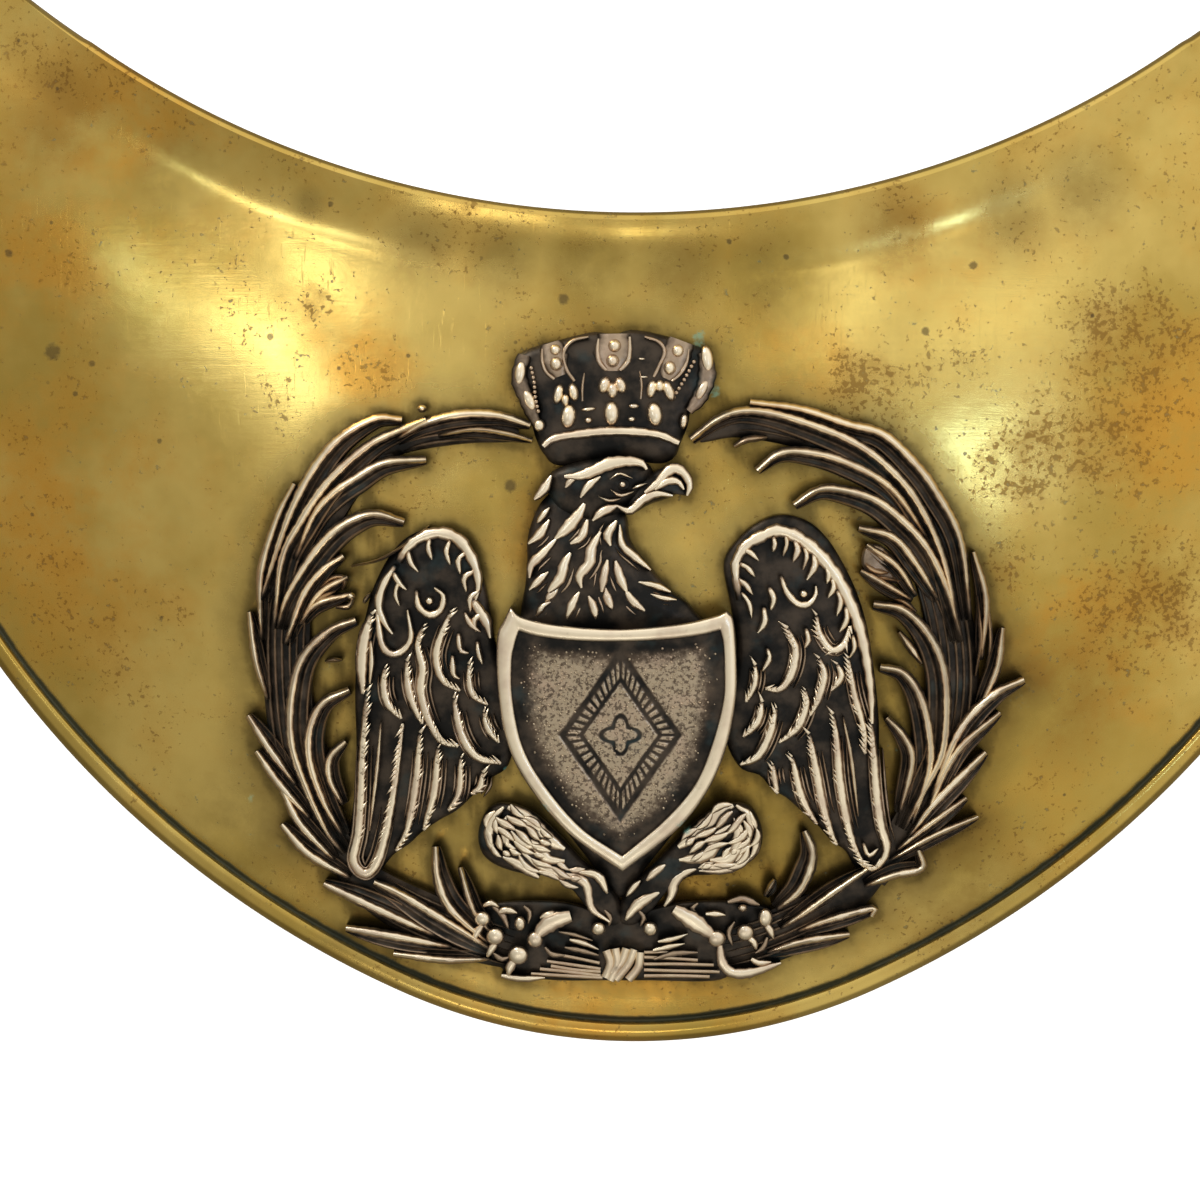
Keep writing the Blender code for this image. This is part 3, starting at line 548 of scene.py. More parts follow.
def plate_rows(width):
    """Shares from the neck edge to the outer edge where a section has a point."""
    reach_in = EDGE_ROWS_REACH * FLANGE_WIDTH
    reach_out = BEAD_WIDTH + EDGE_ROWS_REACH * GROOVE_WIDTH
    squeeze = min(1.0, EDGE_ROWS_SHARE * width / (reach_in + reach_out))
    first = squeeze * reach_in / width
    last = 1 - squeeze * reach_out / width
    flange = np.linspace(0, first, FLANGE_STEPS)
    belly = np.linspace(first, last, BELLY_STEPS)[1:-1]
    groove = np.linspace(last, 1 - squeeze * BEAD_WIDTH / width, GROOVE_STEPS)
    bead_turn = np.linspace(0, math.pi, BEAD_STEPS)[1:]
    bead = 1 - squeeze * BEAD_WIDTH / width * (1 + np.cos(bead_turn)) / 2
    return np.concatenate([flange, belly, groove, bead])


def plate_sections():
    """Every section of the plate from one horn to the other, each a closed ring of points."""
    half = []
    for share in np.linspace(0, 1, STATIONS):
        inner = np.array(along(NECK_PATH, share))
        rim = np.array(along(OUTER_PATH, share))
        rows = plate_rows(np.linalg.norm(rim - inner))
        half.append(inner + np.outer(rows, rim - inner))
    half = np.array(half)
    mirrored = half[:0:-1] * (-1, 1)
    places = np.concatenate([mirrored, half])
    x, y = places[..., 0], places[..., 1]
    face = np.stack([x, y + NECK_Y, BASE_Z + face_height(x, y)], axis=-1)
    along_crescent = np.gradient(face, axis=0)
    across_sheet = np.gradient(face, axis=1)
    normal = np.cross(across_sheet, along_crescent)
    normal /= np.linalg.norm(normal, axis=-1, keepdims=True)
    normal *= np.sign(normal[..., 2:3])
    back = face - SHEET_THICKNESS * normal
    outer_edge = rounded_edge(face[:, -1], face[:, -2], normal[:, -1])
    neck_edge = rounded_edge(face[:, 0], face[:, 1], normal[:, 0])[:, ::-1]
    sections = np.concatenate([face, outer_edge, back[:, ::-1], neck_edge], axis=1)
    return np.clip(sections, cad_box[0], cad_box[1])


def rounded_edge(top, before, normal):
    """Points round the sheet's edge, from the face to the back."""
    outward = top - before
    outward -= normal * np.sum(outward * normal, axis=-1, keepdims=True)
    outward /= np.linalg.norm(outward, axis=-1, keepdims=True)
    middle = top - normal * SHEET_THICKNESS / 2
    points = []
    for turn in (math.pi / 4, math.pi / 2, 3 * math.pi / 4):
        reach = outward * math.sin(turn) * EDGE_TURN + normal * math.cos(turn)
        points.append(middle + reach * SHEET_THICKNESS / 2)
    return np.stack(points, axis=1)


# %% Meshes from rings
def ring_faces(ring_count, ring_size, first=0):
    """The faces between closed rings of equal size, with a cap at each end."""
    faces = []
    for ring in range(ring_count - 1):
        here = first + ring * ring_size
        after = here + ring_size
        for corner in range(ring_size):
            following = (corner + 1) % ring_size
            faces.append((here + corner, here + following, after + following, after + corner))
    last = first + (ring_count - 1) * ring_size
    faces.append(tuple(range(first, first + ring_size)))
    faces.append(tuple(range(last + ring_size - 1, last - 1, -1)))
    return faces


def closed_mesh(name, points, faces):
    """A mesh whose faces all point outwards."""
    mesh = bpy.data.meshes.new(name)
    mesh.from_pydata([tuple(point) for point in points], [], faces)
    form = bmesh.new()
    form.from_mesh(mesh)
    bmesh.ops.recalc_face_normals(form, faces=form.faces)
    form.to_mesh(mesh)
    form.free()
    return mesh


def placed(name, data):
    """A new object in the scene."""
    thing = bpy.data.objects.new(name, data)
    bpy.context.scene.collection.objects.link(thing)
    return thing


def add_piece(name, mesh, material, slot, *stands_for):
    """Show a mesh as a piece of the gorget."""
    piece = placed(name, mesh)
    mesh.materials.clear()
    mesh.materials.append(material)
    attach(piece, "root")
    if stands_for:
        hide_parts(*stands_for)
    faces = sum(len(face.vertices) - 2 for face in mesh.polygons)
    print(name, "has", faces, "triangles")
    return piece


def evaluated_mesh(thing):
    """A plain mesh of an object as its modifiers leave it."""
    seen = thing.evaluated_get(bpy.context.evaluated_depsgraph_get())
    return bpy.data.meshes.new_from_object(seen)


# %% Make the plate
def make_plate():
    sections = plate_sections()
    ring_count, ring_size, _ = sections.shape
    mesh = closed_mesh("plate_fine", sections.reshape(-1, 3), ring_faces(ring_count, ring_size))
    sheet = placed("sheet", mesh)
    drills = []
    for side in (-1, 1):
        bpy.ops.mesh.primitive_cylinder_add(
            vertices=DRILL_SIDES, radius=CORD_HOLE_RADIUS, depth=DRILL_LENGTH,
            location=(side * HORN.x, HORN.y + NECK_Y, BASE_Z + float(face_height(HORN.x, HORN.y))))
        drills.append(bpy.context.object)
        cut = sheet.modifiers.new("Cord hole", "BOOLEAN")
        cut.operation = "DIFFERENCE"
        cut.object = drills[-1]
    drilled = evaluated_mesh(sheet)
    for thing in drills + [sheet]:
        bpy.data.objects.remove(thing)
    drilled.shade_smooth()
    drilled.set_sharp_from_angle(angle=PLATE_SHARP_ANGLE)
    return drilled


plate_mesh = make_plate()

# %% [markdown]
# ## How the badge is drawn
# Cast relief is mostly ridges: leaves, feathers and locks of plumage, each with a crest that
# follows a curve. A ridge is a section carried along a smooth path, as a plasterer runs a
# moulding. Between the ridges lie low mounds. Each is made flat, with its height above the
# plate, and then laid on the plate's curve. Every point also gets its wear.

# %% A growing form
class Form:
    """Points in plan with a height above the plate, their wear, and the faces between them."""

    def __init__(self):
        self.points = []
        self.wear = []
        self.faces = []
        self.count = 0

    def add(self, points, wear, faces):
        self.points.append(np.asarray(points, float).reshape(-1, 3))
        self.wear.append(np.asarray(wear, float).reshape(-1))
        self.faces += [tuple(self.count + corner for corner in face) for face in faces]
        self.count += len(self.points[-1])

    def mesh(self, name):
        points = np.concatenate(self.points)
        points[:, 2] += seat(points[:, 0], points[:, 1])
        mesh = closed_mesh(name, points, self.faces)
        set_attribute(mesh, "worn", np.concatenate(self.wear))
        mesh.shade_smooth()
        mesh.set_sharp_from_angle(angle=RELIEF_SHARP_ANGLE)
        return mesh


def mesh_points(mesh):
    """The points of a mesh as an array."""
    points = np.zeros(len(mesh.vertices) * 3, np.float32)
    mesh.vertices.foreach_get("co", points)
    return points.reshape(-1, 3)


def set_attribute(mesh, name, values):
    layer = mesh.attributes.new(name, "FLOAT", "POINT")
    layer.data.foreach_set("value", np.asarray(values, np.float32))


# %% Smooth paths
PATH_STEP = 4.0
MOUND_STEP = 6.0
FINE_STEP = 1.0
SPAN_STEPS = 24


def smooth_path(points, step=PATH_STEP, closed=False):
    """Points at even steps, in pixels, on the curve that runs through the given ones."""
    knots = np.asarray(points, float)
    count = len(knots)
    spans = count if closed else count - 1
    fine = []
    for span in range(spans):
        if closed:
            before, start, end, after = (knots[(span + shift) % count] for shift in (-1, 0, 1, 2))
        else:
            start, end = knots[span], knots[span + 1]
            before = knots[span - 1] if span else 2 * start - end
            after = knots[span + 2] if span + 2 < count else 2 * end - start
        share = np.linspace(0, 1, SPAN_STEPS, endpoint=False)[:, None]
        bend = 2 * before - 5 * start + 4 * end - after
        twist = 3 * (start - end) + after - before
        fine.append(start + 0.5 * share * (end - before + share * (bend + share * twist)))
    fine.append(knots[:1] if closed else knots[-1:])
    fine = np.concatenate(fine)
    lengths = np.concatenate([[0], np.cumsum(np.linalg.norm(np.diff(fine, axis=0), axis=1))])
    steps = max(4, int(round(lengths[-1] / step)))
    places = np.linspace(0, lengths[-1], steps + 1)[: steps if closed else steps + 1]
    return np.stack([np.interp(places, lengths, fine[:, axis]) for axis in (0, 1)], axis=1)


# %% Ridges
# Columns: place across the width from the crest, share of the rise, wear.
# In a leaf's face the second side is the hollow one, inside the path's bend
CREST_SECTION = [
    (-0.50, 0.0, 0.0), (-0.48, 0.42, 0.05), (-0.38, 0.72, 0.60), (-0.20, 0.93, 1.0), (0.0, 1.0, 1.0),
    (0.20, 0.93, 1.0), (0.38, 0.72, 0.60), (0.48, 0.42, 0.05), (0.50, 0.0, 0.0),
]
FACE_SECTION = [
    (-0.24, 0.0, 0.0), (-0.20, 0.70, 0.0), (-0.05, 1.0, 0.15), (0.14, 0.80, 0.0), (0.28, 0.62, 0.0),
    (0.38, 0.70, 0.26), (0.48, 0.58, 0.0), (0.60, 0.60, 0.05), (0.70, 0.72, 0.58), (0.77, 0.45, 0.0),
    (0.79, 0.0, 0.0),
]
BED_SECTION = [
    (-0.50, 0.0, 0.0), (-0.46, 0.7, 0.0), (-0.20, 1.0, 0.0),
    (0.20, 1.0, 0.0), (0.46, 0.7, 0.0), (0.50, 0.0, 0.0),
]
CREST_SPREAD = 1.28


def taper(share, root, tip, power=0.7):
    """Width along a ridge: narrow at the root, full in the middle and pointed at the tip."""
    start = math.asin(min(root ** (1 / power), 1)) / math.pi
    end = 1 - math.asin(min(tip ** (1 / power), 1)) / math.pi
    return np.sin(math.pi * (start + (end - start) * share)) ** power


HAND_REACH = 0.13
HAND_PITCH = 11.0
SECOND_WAVE = 0.6
SECOND_PITCH = 4.7
LOW_LIFT = 0.55
LIFT_SPAN = 0.45


def by_hand(path, count, pitch=HAND_PITCH, reach=HAND_REACH):
    """A ridge's width along its path, a little uneven as a graver leaves it."""
    phase = float(np.sum(path[0]))
    places = np.arange(count) * PATH_STEP / pitch
    second = np.sin(SECOND_PITCH * math.pi * places + 2 * phase)
    wave = np.sin(2 * math.pi * places + phase) + SECOND_WAVE * second
    return 1 + reach * wave / (1 + SECOND_WAVE)


def ridge(form, path, width, rise, section=CREST_SECTION, base=0.0, root=0.35, tip=0.08, fade=0.15,
          wear=1.0, reach=HAND_REACH, pitch=HAND_PITCH):
    """Run a section along a path. Width is in pixels, and rise and base are in metres.

    A crest's width is that of its bright part, so its foot is wider.
    """
    middle = plan(smooth_path(path))
    if section is CREST_SECTION:
        width = width * CREST_SPREAD
    count = len(middle)
    share = np.linspace(0, 1, count)
    ahead = np.gradient(middle, axis=0)
    ahead /= np.linalg.norm(ahead, axis=1, keepdims=True)
    left = np.stack([-ahead[:, 1], ahead[:, 0]], axis=1)
    turning = np.sum(ahead[:-1, 0] * ahead[1:, 1] - ahead[:-1, 1] * ahead[1:, 0])
    hollow = left if turning > 0 else -left
    half = width * PIXEL * taper(share, root, tip)
    if section is CREST_SECTION:
        half = half * by_hand(path, count, pitch, reach)
    lift = LOW_LIFT + LIFT_SPAN * taper(share, root, tip, 0.5)
    shown = np.clip(share / fade, 0, 1) if fade else np.ones(count)
    rings = []
    worn = []
    for across, height, bright in section:
        place = middle + hollow * (across * half)[:, None]
        up = (base + rise * height * lift) if height else np.zeros(count)
        rings.append(np.concatenate([place, np.reshape(up, (-1, 1))], axis=1))
        worn.append(wear * bright * shown)
    points = np.stack(rings, axis=1)
    form.add(points, np.stack(worn, axis=1), ring_faces(count, len(section)))


BESIDE_START = 6
BESIDE_END = 4
BESIDE_LEAST = 3


def beside(path, offset):
    """A path a few pixels off another, without its first sixth and its last quarter."""
    line = smooth_path(path)
    ahead = np.gradient(line, axis=0)
    ahead /= np.linalg.norm(ahead, axis=1, keepdims=True)
    moved = line + np.stack([ahead[:, 1], -ahead[:, 0]], axis=1) * offset
    first = len(line) // BESIDE_START
    last = max(len(line) - len(line) // BESIDE_END, first + BESIDE_LEAST)
    return moved[first:last:2]


# %% Mounds and domes
MOUND_RINGS = [
    # share of the way in, share of the rise
    (0.0, 0.0), (0.0, 0.35), (0.02, 0.62), (0.06, 0.82), (0.12, 0.93), (0.22, 0.98), (0.36, 1.0),
    (0.52, 1.0), (0.68, 1.0), (0.84, 1.0),
]


def mound(form, outline, rise, wear=0.0, crown=0.0, middle=None):
    """A low mass with rounded sides. Crown adds a dome of that height."""
    edge = plan(smooth_path(outline, MOUND_STEP, closed=True))
    centre = plan(middle) if middle else edge.mean(axis=0)
    points = []
    for inward, height in MOUND_RINGS:
        place = edge + (centre - edge) * inward
        up = rise * height + crown * (1 - (1 - inward) ** 2)
        points.append(np.concatenate([place, np.full((len(edge), 1), up)], axis=1))
    points = np.array(points)
    form.add(points, np.full(points.shape[:2], wear), ring_faces(len(MOUND_RINGS), len(edge)))


DOME_RINGS = [
    # share of the radius, share of the rise or none at the foot, wear
    (1.0, None, 0.0), (1.0, 0.05, 0.0), (0.96, 0.38, 0.35), (0.80, 0.70, 0.9), (0.50, 0.92, 1.0),
    (0.18, 1.0, 1.0),
]
DOME_SIDES = 14


def dome(form, x, y, wide, high, base, rise, wear=1.0, turn=0.0):
    """A pearl or a knuckle: an oval dome of that width and height in plan, in pixels."""
    angles = np.linspace(0, 2 * math.pi, DOME_SIDES, endpoint=False)
    circle = np.stack([np.cos(angles) * wide / 2, np.sin(angles) * high / 2], axis=1)
    spin = np.array([[math.cos(turn), math.sin(turn)], [-math.sin(turn), math.cos(turn)]])
    circle = circle @ spin
    points = []
    worn = []
    for reach, height, bright in DOME_RINGS:
        place = plan(circle * reach + (x, y))
        up = 0.0 if height is None else base + rise * height
        points.append(np.concatenate([place, np.full((DOME_SIDES, 1), up)], axis=1))
        worn.append(np.full(DOME_SIDES, bright * wear))
    form.add(np.array(points), np.array(worn), ring_faces(len(points), DOME_SIDES))


# %% [markdown]
# ## The wreath
# Two branches of long, curling leaves. On each leaf the outer edge is a crest that cloth has
# rubbed bright, and the leaf's face is a dark hollow. The leaves are ridges with that section,
# from a table with a row for each leaf.

# %% Leaves
LEFT_LEAVES = [
    # width in pixels, rise in millimetres, then the crest from root to tip
    (15, 1.1, [(262, 640), (262, 575), (278, 520), (296, 484)]),
    (14, 1.1, [(268, 700), (256, 660), (250, 612)]),
    (17, 1.2, [(296, 786), (268, 748), (248, 716)]),
    (17, 1.2, [(310, 820), (278, 784), (256, 752)]),
    (17, 1.2, [(334, 862), (300, 826), (281, 790)]),
    (18, 1.2, [(350, 880), (308, 856), (281, 826)]),
    (22, 1.3, [(436, 938), (378, 912), (323, 886)]),
    (18, 1.2, [(452, 950), (398, 940), (345, 931)]),
    (15, 1.2, [(492, 962), (445, 963), (393, 957)]),
    (24, 1.4, [(262, 600), (294, 509), (331, 449), (374, 420), (404, 420)]),
    (26, 1.7, [(275, 629), (283, 561), (302, 522), (324, 489), (347, 465), (375, 443), (404, 430),
               (428, 420)]),
    (22, 1.5, [(296, 560), (315, 516), (334, 494), (356, 479), (386, 463), (428, 460)]),
    (24, 1.6, [(278, 628), (288, 597), (311, 559), (334, 533), (356, 519), (378, 514), (406, 522)]),
    (17, 1.4, [(286, 645), (304, 596), (324, 570), (345, 556)]),
    (13, 1.3, [(300, 625), (318, 604), (353, 594)]),
    (13, 1.4, [(303, 618), (322, 592), (349, 577)]),
    (26, 1.7, [(344, 856), (326, 832), (307, 791), (292, 745), (292, 699), (303, 659), (330, 631),
               (357, 620)]),
    (22, 1.6, [(343, 838), (323, 802), (310, 763), (310, 731), (323, 704), (350, 690)]),
    (16, 1.4, [(343, 806), (330, 781), (330, 759), (346, 742)]),
    (24, 1.5, [(492, 952), (437, 918), (400, 896), (374, 884)]),
    (22, 1.5, [(490, 946), (452, 912), (438, 880), (436, 848)]),
    (14, 1.4, [(496, 940), (474, 912), (461, 869)]),
    (18, 1.4, [(398, 440), (426, 424), (462, 415), (500, 416), (532, 426)]),
    (12, 1.2, [(440, 436), (476, 430), (508, 434), (534, 441)]),
]
RIGHT_LEAVES = [
    (14, 1.1, [(984, 660), (988, 600), (975, 552)]),
    (15, 1.2, [(982, 710), (1000, 668), (1005, 628)]),
    (20, 1.4, [(934, 800), (962, 732), (995, 696), (1027, 680)]),
    (16, 1.3, [(928, 820), (958, 755), (1003, 713)]),
    (18, 1.3, [(912, 838), (940, 802), (989, 753)]),
    (14, 1.2, [(900, 852), (925, 832), (970, 799)]),
    (13, 1.2, [(893, 862), (936, 838), (982, 818)]),
    (16, 1.3, [(868, 888), (898, 877), (926, 870), (922, 852)]),
    (22, 1.5, [(972, 620), (962, 541), (937, 492), (915, 463), (884, 435), (849, 425), (802, 410),
               (751, 403)]),
    (26, 1.7, [(962, 640), (945, 560), (917, 500), (884, 463), (851, 441), (811, 425), (772, 414),
               (741, 412), (717, 421), (692, 440)]),
    (20, 1.5, [(930, 540), (892, 488), (843, 461), (802, 452), (778, 455), (758, 471)]),
    (24, 1.6, [(964, 642), (949, 590), (929, 549), (904, 521), (876, 500), (843, 490), (819, 490),
               (795, 505)]),
    (17, 1.4, [(940, 600), (917, 563), (894, 537), (860, 528)]),
    (14, 1.4, [(918, 596), (898, 566), (868, 545)]),
    (13, 1.3, [(914, 600), (886, 584), (862, 571)]),
    (26, 1.7, [(907, 831), (930, 786), (945, 753), (949, 707), (945, 667), (930, 634), (905, 610),
               (875, 604)]),
    (22, 1.6, [(915, 825), (932, 772), (932, 734), (922, 696), (905, 673), (882, 667)]),
    (16, 1.4, [(903, 814), (915, 763), (907, 738), (889, 718)]),
    (16, 1.5, [(783, 931), (806, 916), (841, 891), (870, 871)]),
    (22, 1.5, [(779, 912), (802, 893), (813, 870), (815, 852), (807, 832)]),
    (10, 1.3, [(767, 898), (772, 889), (777, 881)]),
    (16, 1.3, [(800, 934), (830, 923), (876, 911), (875, 919)]),
    (16, 1.3, [(770, 955), (807, 944), (853, 937)]),
]
BRANCHES = [
    # width in pixels, then the line of the branch, which shows dark between the leaves
    (54, [(560, 958), (500, 946), (430, 922), (370, 888), (330, 845)]),
    (50, [(360, 880), (318, 820), (296, 750), (288, 670), (292, 600), (318, 530), (356, 476), (400, 444)]),
    (30, [(380, 452), (420, 436), (470, 430), (520, 436)]),
    (54, [(690, 958), (760, 944), (830, 912), (886, 868)]),
    (50, [(876, 880), (922, 812), (950, 740), (956, 660), (940, 580), (908, 512), (862, 462), (810, 436)]),
    (28, [(830, 446), (780, 430), (736, 426), (700, 438)]),
]
TWIGS = [
    # width, wear, then the line
    (3, 0.70, [(353, 566), (380, 560), (405, 546), (431, 526)]),
    (4, 0.90, [(365, 603), (368, 598), (372, 593)]),
    (4, 0.80, [(326, 662), (334, 660), (343, 660)]), (7, 0.85, [(901, 632), (913, 648), (924, 664)]),
    (5, 0.75, [(896, 599), (907, 603), (918, 612)]), (4, 0.55, [(979, 596), (983, 640), (978, 676)]),
    (4, 0.50, [(989, 600), (993, 640), (989, 668)]), (6, 0.80, [(735, 447), (748, 440), (768, 438)]),
    (5, 0.70, [(321, 588), (334, 578), (346, 578), (344, 590)]),
    (5, 0.80, [(337, 607), (350, 606), (355, 596)]),
    (6, 0.90, [(311, 608), (322, 598), (337, 591)]), (4, 0.60, [(258, 600), (262, 560), (288, 500)]),
]
BUDS = [(424, 409, 10), (352, 596, 10)]
BIG_BUD = [(866, 547), (879, 544), (893, 554), (903, 567), (912, 584), (893, 583), (874, 577), (863, 564)]
BIG_BUD_STROKES = [
    (7, 0.95, [(869, 548), (878, 552), (885, 561)]), (6, 0.80, [(866, 564), (876, 571), (890, 573)]),
    (6, 0.85, [(885, 551), (897, 565), (908, 580)]), (4, 0.70, [(878, 577), (890, 579), (902, 581)]),
]
RIBS = [
    # how far beside the branch, in pixels, and wear
    (-17, 0.46), (-10, 0.30), (-3, 0.50), (5, 0.34), (12, 0.46), (19, 0.30),
]
RIB_WIDTH = 3.4
BED_SHARE = 0.42
BRANCH_RISE = 0.6 * MILLIMETRE
RIB_RISE = BRANCH_RISE * 1.35
CREST_LIFT = 0.30 * MILLIMETRE
CREST_WIDTH = 9.0
CREST_SHARE = 0.48
BUD_RISE = 1.5 * MILLIMETRE
BUD_SHAPE = 0.8
BIG_BUD_RISE = 1.1 * MILLIMETRE
BIG_BUD_WEAR = 0.36
TWIG_RISE = 1.3 * MILLIMETRE


def leaf(form, crest, width, rise):
    """A dark, hollow face with a bright crest along its outer edge."""
    ridge(form, crest, width, rise, FACE_SECTION, FIT_GAP, root=0.5, tip=0.30)
    crest_width = min(CREST_WIDTH, width * CREST_SHARE)
    ridge(form, crest, crest_width, rise + CREST_LIFT, base=FIT_GAP, root=0.40, tip=0.66, fade=0.12)


def make_wreath():
    wreath = Form()
    for width, line in BRANCHES:
        ridge(wreath, line, width, BRANCH_RISE, BED_SECTION, FIT_GAP, root=0.6, tip=0.4)
        for offset, wear in RIBS:
            if abs(offset) < BED_SHARE * width:
                ridge(wreath, beside(line, offset), RIB_WIDTH, RIB_RISE, base=FIT_GAP, wear=wear)
    for width, rise, crest in LEFT_LEAVES + RIGHT_LEAVES:
        leaf(wreath, crest, width, rise * MILLIMETRE)
    mound(wreath, BIG_BUD, BIG_BUD_RISE, wear=BIG_BUD_WEAR)
    for width, wear, line in TWIGS + BIG_BUD_STROKES:
        ridge(wreath, line, width, TWIG_RISE, base=FIT_GAP, root=0.5, tip=0.4, fade=0, wear=wear)
    for x, y, size in BUDS:
        dome(wreath, x, y, size, size * BUD_SHAPE, FIT_GAP, BUD_RISE)
    return wreath


wreath = make_wreath()
wreath_mesh = wreath.mesh("wreath_leaves")
add_piece("wreath_leaves", wreath_mesh, SILVER, "silver", "wreath")

# %% [markdown]
# ## The eagle
# Its masses are mounds, and its plumage is ridges laid on them. The feathers are bright curved
# edges with barbs, the neck has wavy locks, and the thighs are tufted.

# %% Masses of the eagle
RIGHT_WING_OUTLINE = [
    (725, 566), (736, 543), (759, 523), (784, 515), (810, 522), (828, 538), (843, 561), (858, 592),
    (869, 628), (877, 679), (881, 719), (882, 760), (886, 800), (893, 846), (887, 868), (873, 877),
    (858, 868), (848, 852), (834, 842), (820, 826), (804, 812), (788, 798), (774, 790), (762, 776),
    (742, 768), (728, 740), (730, 700), (738, 650), (733, 610),
]
LEFT_WING_OUTLINE = [
    (496, 640), (490, 600), (481, 565), (466, 541), (448, 530), (425, 530), (404, 541), (388, 561),
    (374, 590), (366, 620), (358, 655), (356, 700), (357, 745), (355, 790), (350, 830), (344, 858),
    (352, 875), (366, 883), (380, 873), (394, 856), (410, 845), (424, 832), (442, 820), (458, 811),
    (474, 796), (490, 780), (508, 768), (514, 745), (510, 700), (502, 665),
]
HEAD_OUTLINE = [
    (550, 476), (575, 463), (610, 457), (640, 460), (654, 470), (652, 488), (640, 502), (622, 514),
    (596, 524), (572, 520), (554, 504),
]
BEAK_OUTLINE = [
    (634, 484), (655, 472), (672, 466), (685, 472), (692, 484), (689, 497), (680, 494), (668, 499),
    (650, 505), (636, 513), (622, 512), (622, 500),
]
NECK_OUTLINE = [
    (545, 500), (565, 486), (600, 492), (626, 512), (632, 540), (648, 562), (670, 588), (694, 608),
    (700, 640), (530, 640), (523, 612), (527, 585), (529, 560), (529, 540), (535, 518),
]
BODY_OUTLINE = [
    (508, 640), (560, 632), (690, 632), (732, 650), (728, 740), (700, 800), (650, 866), (622, 900),
    (594, 866), (545, 800), (516, 740),
]
RIGHT_THIGH_OUTLINE = [
    (734, 803), (751, 806), (761, 820), (765, 838), (760, 856), (744, 868), (716, 876), (692, 878),
    (670, 892), (652, 914), (634, 930), (618, 926), (624, 900), (642, 878), (662, 858), (682, 836),
    (708, 813),
]
FEET_OUTLINE = [
    (474, 916), (500, 904), (560, 903), (600, 912), (640, 912), (690, 903), (750, 904), (778, 914),
    (782, 936), (766, 954), (742, 968), (720, 984), (650, 984), (600, 984), (560, 984), (520, 980),
    (500, 970), (484, 950),
]
EAGLE_MIRROR = 622
LEFT_THIGH_OUTLINE = [(2 * EAGLE_MIRROR - x, y) for x, y in RIGHT_THIGH_OUTLINE]
WING_RISE = 0.9 * MILLIMETRE
MASSES = [
    # outline, rise and crown in millimetres, and the place it closes in on, if that isn't its middle
    (RIGHT_WING_OUTLINE, 0.9, 0.0, (800, 690)),
    (LEFT_WING_OUTLINE, 0.9, 0.0, (440, 690)),
    (BODY_OUTLINE, 1.0, 0.0, None),
    (NECK_OUTLINE, 1.0, 0.8, None),
    (HEAD_OUTLINE, 1.3, 0.8, None),
    (BEAK_OUTLINE, 1.2, 0.5, None),
    (RIGHT_THIGH_OUTLINE, 1.1, 0.7, None),
    (LEFT_THIGH_OUTLINE, 1.1, 0.7, None),
    (FEET_OUTLINE, 0.9, 0.0, None),
]


def add_masses(form):
    for outline, rise, crown, middle in MASSES:
        mound(form, outline, rise * MILLIMETRE, crown=crown * MILLIMETRE, middle=middle)


# %% Feathers of the wings
RIGHT_WING_EDGES = [
    # width in pixels, then the bright edge of each barbed feather
    (9, [(789, 628), (797, 650), (793, 673), (782, 689), (767, 689)]),
    (8, [(807, 690), (808, 706), (799, 728), (781, 743)]),
    (8, [(821, 658), (826, 676), (820, 699), (812, 716)]),
    (9, [(778, 708), (771, 735), (759, 757), (742, 765)]),
    (8, [(764, 702), (759, 722), (745, 737)]),
    (7, [(757, 665), (756, 684), (748, 702)]),
    (9, [(811, 734), (815, 755), (820, 781), (825, 806), (833, 832), (840, 846)]),
    (8, [(794, 757), (798, 776), (803, 796), (812, 814), (820, 825)]),
    (9, [(835, 714), (839, 745), (842, 781), (848, 816), (856, 845), (868, 868)]),
    (9, [(873, 722), (876, 755), (879, 793), (884, 827), (890, 848), (886, 862), (874, 871), (862, 862)]),
    (7, [(850, 658), (856, 694), (866, 730), (868, 754)]),
    (7, [(839, 664), (843, 677), (833, 691)]),
    (8, [(818, 615), (821, 634), (833, 650), (845, 645), (851, 626)]),
    (7, [(775, 765), (776, 778), (780, 794)]),
]
RIGHT_WING_PLAIN = [
    (12, [(741, 600), (737, 574), (738, 560), (748, 545), (764, 536), (777, 531), (792, 534), (806, 542),
          (821, 555), (838, 577), (851, 602), (861, 628), (868, 658), (873, 694), (874, 724)]),
    (7, [(782, 576), (788, 592), (799, 604), (810, 604), (817, 595), (817, 586)]),
    (7, [(770, 587), (775, 599), (772, 610)]),
    (7, [(765, 607), (766, 622), (759, 633)]),
    (6, [(807, 628), (810, 640), (806, 648)]),
    (6, [(768, 648), (771, 658), (764, 671)]),
    (4, [(845, 717), (853, 755), (858, 793), (861, 817)]),
    (5, [(866, 844), (872, 857), (881, 850)]),
    (6, [(774, 536), (776, 544), (774, 552)]),
    (7, [(795, 540), (799, 550), (794, 562)]),
    (7, [(814, 553), (816, 566), (808, 580)]),
    (6, [(826, 566), (830, 574), (828, 584)]),
    (6, [(744, 550), (752, 553), (760, 561)]),
    (6, [(740, 563), (749, 568), (756, 577)]),
    (6, [(739, 578), (748, 586), (754, 595)]),
    (6, [(742, 592), (750, 603), (753, 618)]),
    (6, [(838, 590), (842, 602), (838, 616)]),
    (6, [(833, 577), (835, 588), (829, 598)]),
    (6, [(847, 606), (848, 620), (841, 632)]),
    (5, [(854, 634), (856, 648), (851, 658)]),
    (5, [(786, 534), (788, 544), (784, 556)]),
    (5, [(804, 546), (808, 556), (804, 570)]),
]
